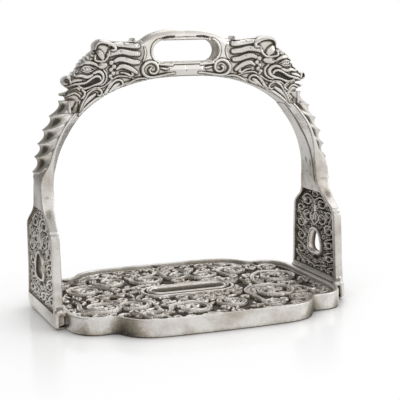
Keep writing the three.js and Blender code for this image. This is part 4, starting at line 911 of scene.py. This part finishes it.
def volute(centre, radius, start, turns, tail, width, end=0.36, steps=26):
    """A tail that swings into a spiral, as points with half widths."""
    share = np.linspace(0, 1, steps)
    angles = (start + turns * share) * FULL_TURN
    reach = radius * (1 + (end - 1) * share ** 1.3)
    ring = np.stack([centre[0] + reach * np.cos(angles), centre[1] + reach * np.sin(angles)], 1)
    tail = np.array(tail, float)
    back = np.array([math.sin(angles[0]), -math.cos(angles[0])]) * math.copysign(1, turns)
    control = ring[0] + back * np.linalg.norm(ring[0] - tail) / 2
    points = np.concatenate([bezier([tail, control, ring[0]], 9)[:-1], ring])
    grow = np.interp(np.linspace(0, 1, len(points)), [0, 0.25, 0.8, 1], [0.55, 1, 0.85, 0.75])
    return [(x, y, width * g) for (x, y), g in zip(points, grow)]


def laid(relief, points, level, lift, dip=0.0, groove=0.3):
    """A scroll with a round eye at its end."""
    relief.ridge(points, level, lift, dip=dip, groove=groove, gap=0.3)
    x, y, r = points[-1]
    relief.blob((x, y), (r * 1.45, r * 1.45), level + 0.1, lift, groove=0.15)


def gap_circles(rng, low, high, taken, room_at, least, most, tries, wall):
    """Circles thrown at random into the gaps between circles, and inside the rings that these stand for."""
    taken, found = list(taken), []
    for _ in range(tries):
        x, y = rng.uniform(low[0], high[0]), rng.uniform(low[1], high[1])
        room = room_at(x, y)
        for a, b, r in taken:
            gap = math.hypot(x - a, y - b) - r
            room = min(room, abs(gap + 0.05 * r) - wall if gap < 0 else gap)
        if min(room, most) * 0.95 > least:
            found.append((x, y, min(room, most) * 0.95))
            taken.append(found[-1])
    return found


def random_curl(rng, x, y, size, root_reach):
    """A small scroll in a gap: where it starts, its spin, the way to its tail and the tail's root."""
    angle, spin = rng.uniform(0, 1), 1 if rng.random() < 0.5 else -1
    aim = np.array([math.cos(angle * FULL_TURN), math.sin(angle * FULL_TURN)])
    return angle + 0.1, spin, aim, (x, y) + (size + root_reach) * aim


# Vines of one half of the side panel: place as shares of the half width and the height, radius,
# start and turns of the volute, and where its tail begins
STRETCH = 1.9
vines = [((0.34, 0.855), 2.9, 0.30, -1.3, (0.04, 0.70)), ((0.33, 0.665), 2.6, 0.12, -1.25, (0.05, 0.56)),
         ((0.68, 0.735), 1.9, 0.95, 1.15, (0.56, 0.58)), ((0.70, 0.56), 2.5, 0.30, 1.25, (0.45, 0.50)),
         ((0.70, 0.395), 2.4, 0.30, 1.25, (0.95, 0.50)), ((0.70, 0.235), 2.3, 0.30, 1.25, (0.95, 0.34)),
         ((0.80, 0.075), 2.1, 0.30, 1.2, (0.97, 0.19)), ((0.46, 0.075), 2.0, 0.22, 1.2, (0.64, 0.14)),
         ((0.15, 0.05), 1.9, 0.22, 1.1, (0.32, 0.12))]
thin_vines = [((0.03, 0.94), 1.4, 0.25, -0.8, (0.25, 0.97)), ((0.44, 0.46), 1.1, 0.2, 1, (0.55, 0.5)),
              ((0.96, 0.66), 1.2, 0.4, -1, (0.9, 0.72)), ((0.97, 0.47), 1.0, 0.6, 1, (0.88, 0.49)),
              ((0.97, 0.31), 1.0, 0.3, 1, (0.88, 0.33)), ((0.97, 0.15), 1.0, 0.3, 1, (0.88, 0.18)),
              ((0.45, 0.20), 1.1, 0.2, 1, (0.56, 0.2)), ((0.02, 0.02), 1.2, 0.25, 1, (0.12, 0.06)),
              ((0.63, 0.02), 1.0, 0.25, 1, (0.6, 0.07)), ((0.32, 0.0), 0.9, 0.25, 1, (0.3, 0.06)),
              ((0.14, 0.55), 1.1, 0.3, 1, (0.26, 0.56)), ((0.60, 0.85), 1.1, 0.5, -1, (0.5, 0.80)),
              ((0.50, 0.34), 0.9, 0.1, -1, (0.6, 0.32)), ((0.28, 0.155), 1.2, 0.1, 1, (0.42, 0.13)),
              ((0.07, 0.14), 1.0, 0.4, 1, (0.0, 0.1)), ((0.94, 0.02), 1.0, 0.3, 1, (0.9, 0.06)),
              ((0.10, 0.80), 1.0, 0.7, 1, (0.02, 0.74)), ((0.92, 0.56), 0.9, 0.2, 1, (0.85, 0.6)),
              ((0.50, 0.57), 1.0, 0.0, 1, (0.46, 0.62)), ((0.12, 0.485), 0.9, 0.2, 1, (0.2, 0.5))]
half_window = (arm_half(WINDOW_FOOT) - FLANGE) / STRETCH
panel_low = 7.0
panel = Relief((0, panel_low), (25.5 / STRETCH, 55.0), 0.15, -1.5)
panel_Y = panel.A * STRETCH


def panel_place(share):
    """A place on the panel's grid from shares of the half width and the height."""
    return share[0] * half_window, OUTER_FOOT + 0.8 + share[1] * (WINDOW_TOP - OUTER_FOOT - 0.8)


def egg(grow, grow_z):
    """The eye's outline, in Y and Z."""
    t = np.linspace(0, 1, 96, endpoint=False) * FULL_TURN
    c, s = (np.sign(f) * np.abs(f) ** 0.72 for f in (np.cos(t), np.sin(t)))
    return np.stack([(EYE_W + grow) * (1 - EYE_TAPER * s) * c, EYE_Z + (EYE_RISE + grow_z) * s], 1)


seat = -inside_distance(panel_Y, panel.B, egg(RING_W - 0.5, RING_Z - 0.5))
panel_area = inside_distance(panel_Y, panel.B, np.array(window_line(OUTER_EDGE, OUTER_FOOT)))


def panel_room(x, y):
    i, j = int(x / panel.step), int((y - panel_low) / panel.step)
    return min(panel_area[i, j] / 1.3, seat[i, j] / 1.3 - 0.4, x + 0.5)


def panel_upright(a, b, third):
    """The panel's grid is narrower than the panel, so the vines come out twice as wide as high."""
    return sideways(a * STRETCH, b, third)


vine_rng = np.random.default_rng(5)
curls = []
for least in (1.15, 0.8):
    circles = [(*panel_place(at), radius * 0.98) for at, radius, *_ in vines + thin_vines] + curls
    curls += gap_circles(vine_rng, (0, 8.5), (12.5, 53.0), circles, panel_room, least, 1.7, 4000, 9.0)
for x, y, size in curls:
    start, spin, _, root = random_curl(vine_rng, x, y, size, 0.9)
    laid(panel, volute((x, y), size * 0.85, start, spin * 0.8, root, 0.25, 0.4, 16), -0.95, 0.6)
for at, radius, start, turns, tail in thin_vines:
    laid(panel, volute(panel_place(at), radius, start, turns, panel_place(tail), 0.32), -0.7, 0.6)
for at, radius, start, turns, tail in vines:
    curl = volute(panel_place(at), radius * 1.06, start, turns * 0.86, panel_place(tail), 0.42)
    laid(panel, curl, -0.4, 0.75)
panel.ridge([(0.0, 34.2, .4), (1.2, 35.6, .5), (2.4, 37.2, .5), (2.6, 39.2, .45), (1.6, 40.4, .4)], -0.3, 0.6)
panel.ridge([(0.0, 40.6, .4), (0.8, 38.8, .5), (0.5, 37.2, .45)], -0.4, 0.6)

# The panel has a plain border, and a plain land round the eye
panel.h = np.where(panel_area < 0.6, -0.75, panel.h)
panel.metal = np.maximum(panel.metal, 0.6 - panel_area)
panel.metal = np.where(seat < 2.6, np.maximum(panel.metal, 0.2), panel.metal)
panel.h = np.where(seat < 1.1, -0.9, panel.h)
panel_trim = np.minimum.reduce([panel.metal + 2.2, panel_area, seat])
# Painted shade on the panel's sunken ground
panel_shade = np.clip((-0.45 - panel.h) / 0.6, 0, 1)
panel_front = LEG_IN + 1.05 - panel.h
panel_front = np.where(panel.B < WINDOW_FOOT + 0.3, np.maximum(panel_front, LEG_IN + 1.5), panel_front)
panel_back = LEG_OUT - 0.35 + np.clip(panel.h, -1.5, 0.3) * 0.35
both_panel, fields = panel.mirrored([panel_trim, panel_front, panel_back, panel_shade])
side_right = relief_body("pierced_side_right", both_panel, *fields[:3], panel_upright, fields[3], shadow=1.0)
finish_sides(side_right, "side_grille", pierced_steel, left_leg)

# Eye collars: a lip on the inner face and a tube through the panel, in rows of inset, X and painted shade
COLLAR_W = 1.2
ring_rows = [(0.0, 71.5, .6), (0.05, 71.0, .2), (0.5, 70.75, 0), (1.0, 70.85, .1), (COLLAR_W, 71.1, .2),
             (COLLAR_W, 72.6, .35), (COLLAR_W, 72.9, .5), (COLLAR_W, 74.7, 1.0), (1.0, 75.1, .1),
             (0.4, 75.1, .1), (0.1, 74.6, .5)]
rings = [egg(*(width * (1 - inset / COLLAR_W) for width in (RING_W, RING_Z))) for inset, _, _ in ring_rows]
corners = [sideways(*ring.T, np.full(len(ring), x)) for ring, (_, x, _) in zip(rings, ring_rows)]
eye_right = outward(mesh_object("eye_collar_right", np.concatenate(corners),
                                ring_quads(len(rings), len(rings[0]), True),
                                np.repeat([depth for _, _, depth in ring_rows], len(rings[0])), 40))
finish_sides(eye_right, "eye_ring", pierced_steel, left_leg)

# The foot plate: a quarter of its lobed outline, as shares of its half sizes
LOBE_X, LOBE_Y, CUSP = (1, 0.387), (0.388, 0.988), (0.783, 0.739)
quarter = [bezier([(1, 0), LOBE_X], 24), bezier([LOBE_X, (1, 0.619), (0.934, 0.749), CUSP], 34),
           bezier([CUSP, (0.717, 0.732), (0.69, 0.797)], 12),
           bezier([(0.69, 0.797), (0.64, 0.914), (0.568, 0.979), LOBE_Y], 34),
           bezier([LOBE_Y, (0.194, 1), (0, 1)], 24)]
quarter = np.concatenate([q[1:] for q in quarter]) * (TREAD_X, TREAD_Y)
back_half = quarter[::-1][1:]
tread_line = np.concatenate([quarter, back_half * (-1, 1), quarter * (-1, -1), back_half * (1, -1)])
rim_section = rounded([(0, 0, .6), (0, RIM_H, .55), (RIM_T, RIM_H, .5), (RIM_T, 4.6, .2), (5.6, 4.6, .2),
                       (5.6, 3.0, .2), (RIM_T, 0.6, .3), (RIM_T, 0, .3)], 5)
rim = sweep("forged_rim", tread_line, rim_section, flat, np.zeros(len(rim_section)))

# Darker patches on the band where the lobes meet, and painted shade along its foot, where it meets the floor
x, y, z = np.abs(corner_places(rim.data))
rim_patches_and_shade = 0.52 * bell(x, 47, 6.5) * (y > 36) + 0.3 * bell(x, 64, 3) * (y > 30) + 0.7 * bell(z, 0, 0.7)
set_painted_shade_and_stain(rim.data, np.clip(rim_patches_and_shade, 0, 1))
finish_piece(rim, "tread_rim", plain_steel)


def round_slot(reach, turned, straight=0):
    """A closed line round the tread's slot, with so many points in a half turn and on a straight."""
    turns = np.linspace(-0.5, 0.5, turned) * math.pi
    x = np.concatenate([SLOT_STRAIGHT + reach * np.cos(turns),
                        np.linspace(SLOT_STRAIGHT, -SLOT_STRAIGHT, straight + 2)[1:-1]])
    half = np.stack([x, np.concatenate([reach * np.sin(turns), np.full(straight, reach)])], 1)
    return np.concatenate([half, -half])


# The slot's collar: rows of inset, height and painted shade
collar_rows = [(0, 7.0, .3), (0.15, 7.7, 0), (0.5, 8.05, 0), (0.9, 7.8, .1), (1.15, 7.1, .9), (1.4, 7.3, .5),
               (1.8, 7.75, 0), (2.3, 7.65, 0), (2.6, 7.35, .2), (2.7, 7.1, .45), (2.7, 6.2, .62),
               (2.7, 3.2, 1.0), (1.7, 3.2, 1.0), (1.6, 6.6, .9), (0.3, 6.7, .8)]
collar = sweep("slot_collar", round_slot(COLLAR_Y, 25, 18), [row[:2] for row in collar_rows], flat,
               [row[2] for row in collar_rows])
finish_piece(collar, "slot_frame", pierced_steel)

# Scrolls of the plate: centre, radius, start and turns, where the tail begins, and half width
tread = Relief((-68.5, -57.5), (68.5, 57.5), 0.33, -1.9)
scrolls = [((-50.5, -19), 10.5, 0.45, 1.35, (-60, -3), 1.5), ((-35, -20), 8.0, 0.1, -1.3, (-24, -2), 1.3),
           ((-10, -36), 10.5, 0.47, -1.15, (-25, -42), 1.45), ((12, -33), 7.4, 0.3, 1.35, (2, -22), 1.3),
           ((38, -20), 13.0, 0.52, -1.3, (25, -43), 1.6), ((50, -23), 6.0, 0.2, -1.2, (60, -8), 1.1),
           ((52, 9), 11.5, 0.4, -1.3, (37, -4), 1.5), ((-33, 30), 8.5, 0.42, 1.2, (-44, 42), 1.3),
           ((-13, 28), 9.0, 0.4, 1.2, (-24, 44), 1.35), ((4, 30), 6.3, 0.5, 1.2, (-2, 42), 1.1),
           ((18, 28), 8.5, 0.4, 1.2, (9, 44), 1.3), ((36, 30), 8.0, 0.55, -1.25, (29, 12), 1.3),
           ((-50, 17), 9.0, 0.15, 1.3, (-36, 4), 1.35), ((-57, 33), 4.6, 0.2, 1.2, (-50, 26), 0.9),
           ((-30, -41), 5.6, 0.6, -1.2, (-40, -34), 1.0), ((29, -44), 6.0, 0.1, 1.2, (20, -44), 1.1),
           ((45, -38), 4.6, 0.3, 1.2, (52, -34), 0.9), ((2, 46), 3.6, 0.4, 1.1, (-5, 50), 0.8),
           ((-22, 10), 4.2, 0.6, -1.1, (-30, 4), 0.9), ((27, 9), 4.4, 0.3, 1.1, (33, 0), 0.9),
           ((58, -32), 4.0, 0.8, -1.1, (62, -22), 0.8), ((57, 30), 5.0, 0.5, -1.2, (50, 22), 0.9),
           ((24, 46), 4.2, 0.1, 1.1, (32, 42), 0.8), ((-46, 40), 3.4, 0.4, 1.1, (-42, 47), 0.7),
           ((-57, -36), 3.8, 0.5, 1.1, (-62, -28), 0.8), ((-8, -16.5), 4.2, 0.0, 1.0, (4, -13), 0.9),
           ((20, -15.5), 4.0, 0.5, -1.0, (10, -13), 0.9), ((0, 15), 3.6, 0.75, 0.9, (12, 12.5), 0.8),
           ((-44, 0), 3.6, 0.2, 1.1, (-36, -4), 0.8), ((40, 2), 3.0, 0.4, 1.1, (34, 6), 0.7)]
slits = [((-18, -13.5), (-2, -12.6), 1.1), ((-29, -8), (-27, 4), 1.2), ((28, -6), (29, 3), 1.0),
         ((-22, -27), (-17, -36), 1.2), ((-2, -30), (3, -44), 1.3), ((21, -28), (24, -37), 1.1),
         ((-44, 6), (-46, 12), 1.0), ((-24, 18), (-23, 30), 1.2), ((9, 17), (11, 30), 1.1),
         ((27, 17), (27, 29), 1.1), ((44, 19), (45, 31), 1.2), ((-62, -12), (-60, 6), 1.1),
         ((61, -6), (60, -20), 1.2), ((-43, -36), (-36, -46), 1.0), ((14, -43), (20, -49), 1.0),
         ((-6, 17), (-4, 25), 1.0), ((-64, 12), (-63, 24), 1.0), ((64, 10), (63, 24), 1.0)]
plate_line = tread_line * ((TREAD_X - RIM_T - GAP) / TREAD_X, (TREAD_Y - RIM_T - GAP) / TREAD_Y)
plate_area = inside_distance(tread.A, tread.B, plate_line)
slot_area = np.hypot(np.maximum(np.abs(tread.A) - SLOT_STRAIGHT, 0), tread.B) - COLLAR_Y + 0.2


def plate_room(x, y):
    i, j = int((x - tread.a[0]) / tread.step), int((y - tread.b[0]) / tread.step)
    return min(plate_area[i, j] + 0.3, slot_area[i, j] - 1.6)


plate_rng = np.random.default_rng(11)
small = []
for least in (2.8, 2.0, 1.5):
    circles = [(x, y, r * 1.05) for (x, y), r, *_ in scrolls] + small
    small += gap_circles(plate_rng, (-67, -56), (67, 56), circles, plate_room, least, 4.0, 4000, 1.5)
for x, y, size in small:
    start, spin, (c, s), root = random_curl(plate_rng, x, y, size, 2.4)
    if size > 2.4:
        curl = volute((x, y), size * 0.86, start, spin * 0.95, root, 0.42 + 0.11 * size, 0.3, 18)
        laid(tread, curl, -1.15, 0.5, groove=0.8)
    else:
        leaf = [(x - 2.6 * c, y - 2.6 * s, 0.3), (x, y, 0.85),
                (x + 2.2 * c + 1.2 * s, y + 2.2 * s - 0.4, 0.3)]
        tread.ridge(leaf, -1.15, 0.5, groove=0.8, power=2.0)
for a, b, width in slits:
    middle = ((a[0] + b[0]) / 2 + 0.12 * (b[1] - a[1]), (a[1] + b[1]) / 2 - 0.12 * (b[0] - a[0]))
    w, e, _ = tread.edge(spline([(*a, 0.3), (*middle, width * 1.2), (*b, 0.3)]), 3)
    tread.metal[w] = np.minimum(tread.metal[w], e - 0.5)
    tread.h[w] = np.minimum(tread.h[w], -1.9 + 0.6 * np.clip(e, 0, 3))
for at, radius, start, turns, tail, width in scrolls[::-1]:
    curl = volute(at, radius, start, turns, tail, width, 0.34, 40)
    laid(tread, curl, -0.45, 0.4, dip=0.8 * min(width, 1.2), groove=1.1)
around_slot = round_slot(9.9, 13)
tread.ridge([(x, y, 0.85) for x, y in (*around_slot, around_slot[0])], -0.45, 0.5, dip=0.3, groove=0.9)
tread.metal = np.maximum.reduce([tread.metal, 1.2 - plate_area, 1.0 - slot_area])
tread.h = np.where(plate_area < 0.9, -0.9, tread.h)


def solid_cells(node, grid):
    """1 where a CAD node lies under a place of the grid, else 0. Every second place is tried."""
    tree = BVHTree.FromPolygons([node.matrix_world @ v.co for v in node.data.vertices],
                                [p.vertices for p in node.data.polygons])
    above, down = 0.05, Vector((0, 0, -1))
    hit = [[tree.ray_cast(Vector((x * MM, y * MM, above)), down)[0] is not None for y in grid.b[::2]]
           for x in grid.a[::2]]
    return np.repeat(np.repeat(np.array(hit, float), 2, 0), 2, 1)[:len(grid.a), :len(grid.b)]


# The plate is open only where the solid is open too: elsewhere its sunken ground shows, darkened with painted
# shade
ground_trim = blurred(solid_cells(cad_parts["tread_grille"], tread), 1.5) - 0.5
tread_trim = np.minimum.reduce([np.maximum(tread.metal + 0.3, ground_trim), plate_area, slot_area + 1.1])
# Painted shade on the plate's sunken ground and in its slits
tread_shade = np.clip((-0.55 - tread.h) / 1.15, 0, 1)
tread_top = 7.35 + np.clip(tread.h, -2.2, 0.2)
plate = relief_body("pierced_foot_plate", tread, tread_trim, tread_top, np.full(tread.A.shape, 4.9), flat,
                    tread_shade, shadow=1.0)
finish_piece(plate, "tread_grille", pierced_steel)

# Fasteners keep their solids
for name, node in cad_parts.items():
    if any(word in name for word in ("rivet", "pin", "key")):
        node.data.materials.clear()
        node.data.materials.append(key_steel if "foot_key" in name else rivet_steel)
        node.data.polygons.foreach_set("use_smooth", np.ones(len(node.data.polygons), bool))

# Camera, where the photograph was taken from
CAMERA_AT, YAW, PITCH, ROLL, LENS = (-0.175347, -0.511843, 0.138564), 0.343, -0.158, -0.019, 97.94
ahead = Vector((math.sin(YAW) * math.cos(PITCH), math.cos(YAW) * math.cos(PITCH), math.sin(PITCH)))
level = Vector((math.cos(YAW), -math.sin(YAW), 0))
overhead = level.cross(ahead)
across = math.cos(ROLL) * level + math.sin(ROLL) * overhead
up = -math.sin(ROLL) * level + math.cos(ROLL) * overhead
camera = add_object("camera", bpy.data.cameras.new("camera"))
camera.data.sensor_width, camera.data.lens = 36, LENS
camera.data.clip_start, camera.data.clip_end = 0.02, 20
camera.matrix_world = Matrix.Translation(CAMERA_AT) @ Matrix((across, up, -ahead)).transposed().to_4x4()
bpy.context.scene.camera = camera

# Paper floor, white room and lamps
WHITE = (1, 1, 1, 1)


def paper_material():
    """White paper that glows a little, less close to the stirrup, which paints a contact shadow. In the metal
    it is darker behind and to the left.
    """
    material = bpy.data.materials.new("paper")
    g = Graph(material)
    place = g.node("TexCoord").outputs["Object"]
    x, y, _ = g.node("SeparateXYZ", Vector=place).outputs
    rays = g.node("LightPath").outputs
    behind = g.span(y, -0.05, 0.16, 0.0, 1.0)
    seen_behind = g.math("MULTIPLY", g.span(x, -0.30, 0.02, 0.42, 0.80), behind)
    seen_ahead = g.math("MULTIPLY", g.span(x, -0.85, -0.40, 0.62, 1.0), g.math("SUBTRACT", 1.0, behind))
    in_metal = g.math("MULTIPLY", rays["Is Glossy Ray"], g.math("ADD", seen_behind, seen_ahead))
    # Near the stirrup the paper's glow to the camera fades with ambient occlusion: a painted contact shadow
    under = g.node("AmbientOcclusion", Distance=0.02)
    under.samples = 8
    to_camera = g.math("MULTIPLY", rays["Is Camera Ray"], g.span(under.outputs["AO"], 0.45, 0.92, 0.0, 0.27))
    strength = g.math("ADD", to_camera, g.math("MULTIPLY", in_metal, 0.34))
    glow = g.node("Emission", Color=WHITE, Strength=strength)
    diffuse = g.node("BsdfDiffuse", Color=(0.82, 0.82, 0.82, 1))
    mirror = g.node("BsdfGlossy", Color=WHITE, Roughness=0.16)
    near = g.chain("MixShader", 0.14, g.chain("AddShader", diffuse.outputs[0], glow.outputs[0])[0],
                   mirror.outputs[0])[0]
    # Away from the stirrup the paper is plain white to the camera
    beyond = g.vector("SUBTRACT", g.vector("ABSOLUTE", place)["Vector"], (0.070, 0.048, 0.0))["Vector"]
    away = g.vector("LENGTH", g.vector("MAXIMUM", beyond, (0.0, 0.0, 0.0))["Vector"])["Value"]
    clear = g.node("Emission", Color=WHITE, Strength=g.math("ADD", rays["Is Camera Ray"], in_metal))
    seen = g.math("MAXIMUM", rays["Is Camera Ray"], rays["Is Glossy Ray"])
    share = g.math("MULTIPLY", seen, g.span(away, 0.01, 0.09, 0.0, 1.0))
    g.node("OutputMaterial", Surface=g.chain("MixShader", share, near, clear.outputs[0])[0])
    return material


def studio():
    """A white room. The metal sees it darker to the left, and high up."""
    world = bpy.data.worlds.new("studio")
    g = Graph(world)
    x, y, z = g.node("SeparateXYZ", Vector=g.node("TexCoord").outputs["Generated"]).outputs
    rays = g.node("LightPath").outputs
    behind = g.span(y, -0.1, 0.4, 0.0, 1.0)
    dark_behind = g.math("MULTIPLY", g.math("MULTIPLY", g.span(z, 0.28, 0.62, 0.0, 1.0), behind), 0.66)
    dark_ahead = g.math("MULTIPLY", g.span(z, 0.6, 0.92, 0.0, 0.38), g.math("SUBTRACT", 1.0, behind))
    sky = g.math("SUBTRACT", g.math("SUBTRACT", 1.12, dark_behind), dark_ahead)
    in_metal = g.math("MULTIPLY", g.span(x, -0.9, 0.3, 0.30, 1.0), sky)
    to_metal, to_rest, to_camera = (g.node("Background", Color=WHITE, Strength=strength).outputs[0]
                                    for strength in (in_metal, 0.55, 1.0))
    metal_share = g.math("MAXIMUM", rays["Is Glossy Ray"], rays["Is Transmission Ray"])
    light = g.chain("MixShader", metal_share, to_rest, to_metal)[0]
    g.node("OutputWorld", Surface=g.chain("MixShader", rays["Is Camera Ray"], light, to_camera)[0])
    return world


def lamp(name, at, to, size, power):
    data = bpy.data.lights.new(name, "AREA")
    data.size, data.energy = size, power
    obj = add_object(name, data)
    obj.location = at
    obj.rotation_euler = (Vector(to) - Vector(at)).to_track_quat("-Z", "Y").to_euler()


bpy.ops.mesh.primitive_plane_add(size=6, location=(0, 0, -0.0002))
floor = bpy.context.object
floor.name = "floor"
floor.data.materials.append(paper_material())
bpy.context.scene.world = studio()
lamp("key", (-0.7, -0.9, 1.0), (0, 0, 0.05), 1.3, 4.5)
lamp("fill", (1.1, -0.5, 0.7), (0, 0, 0.05), 0.7, 3)
lamp("back", (0.45, 0.55, 0.95), (0, 0, 0.03), 1.0, 3.4)
bpy.context.scene.view_settings.view_transform = "Standard"
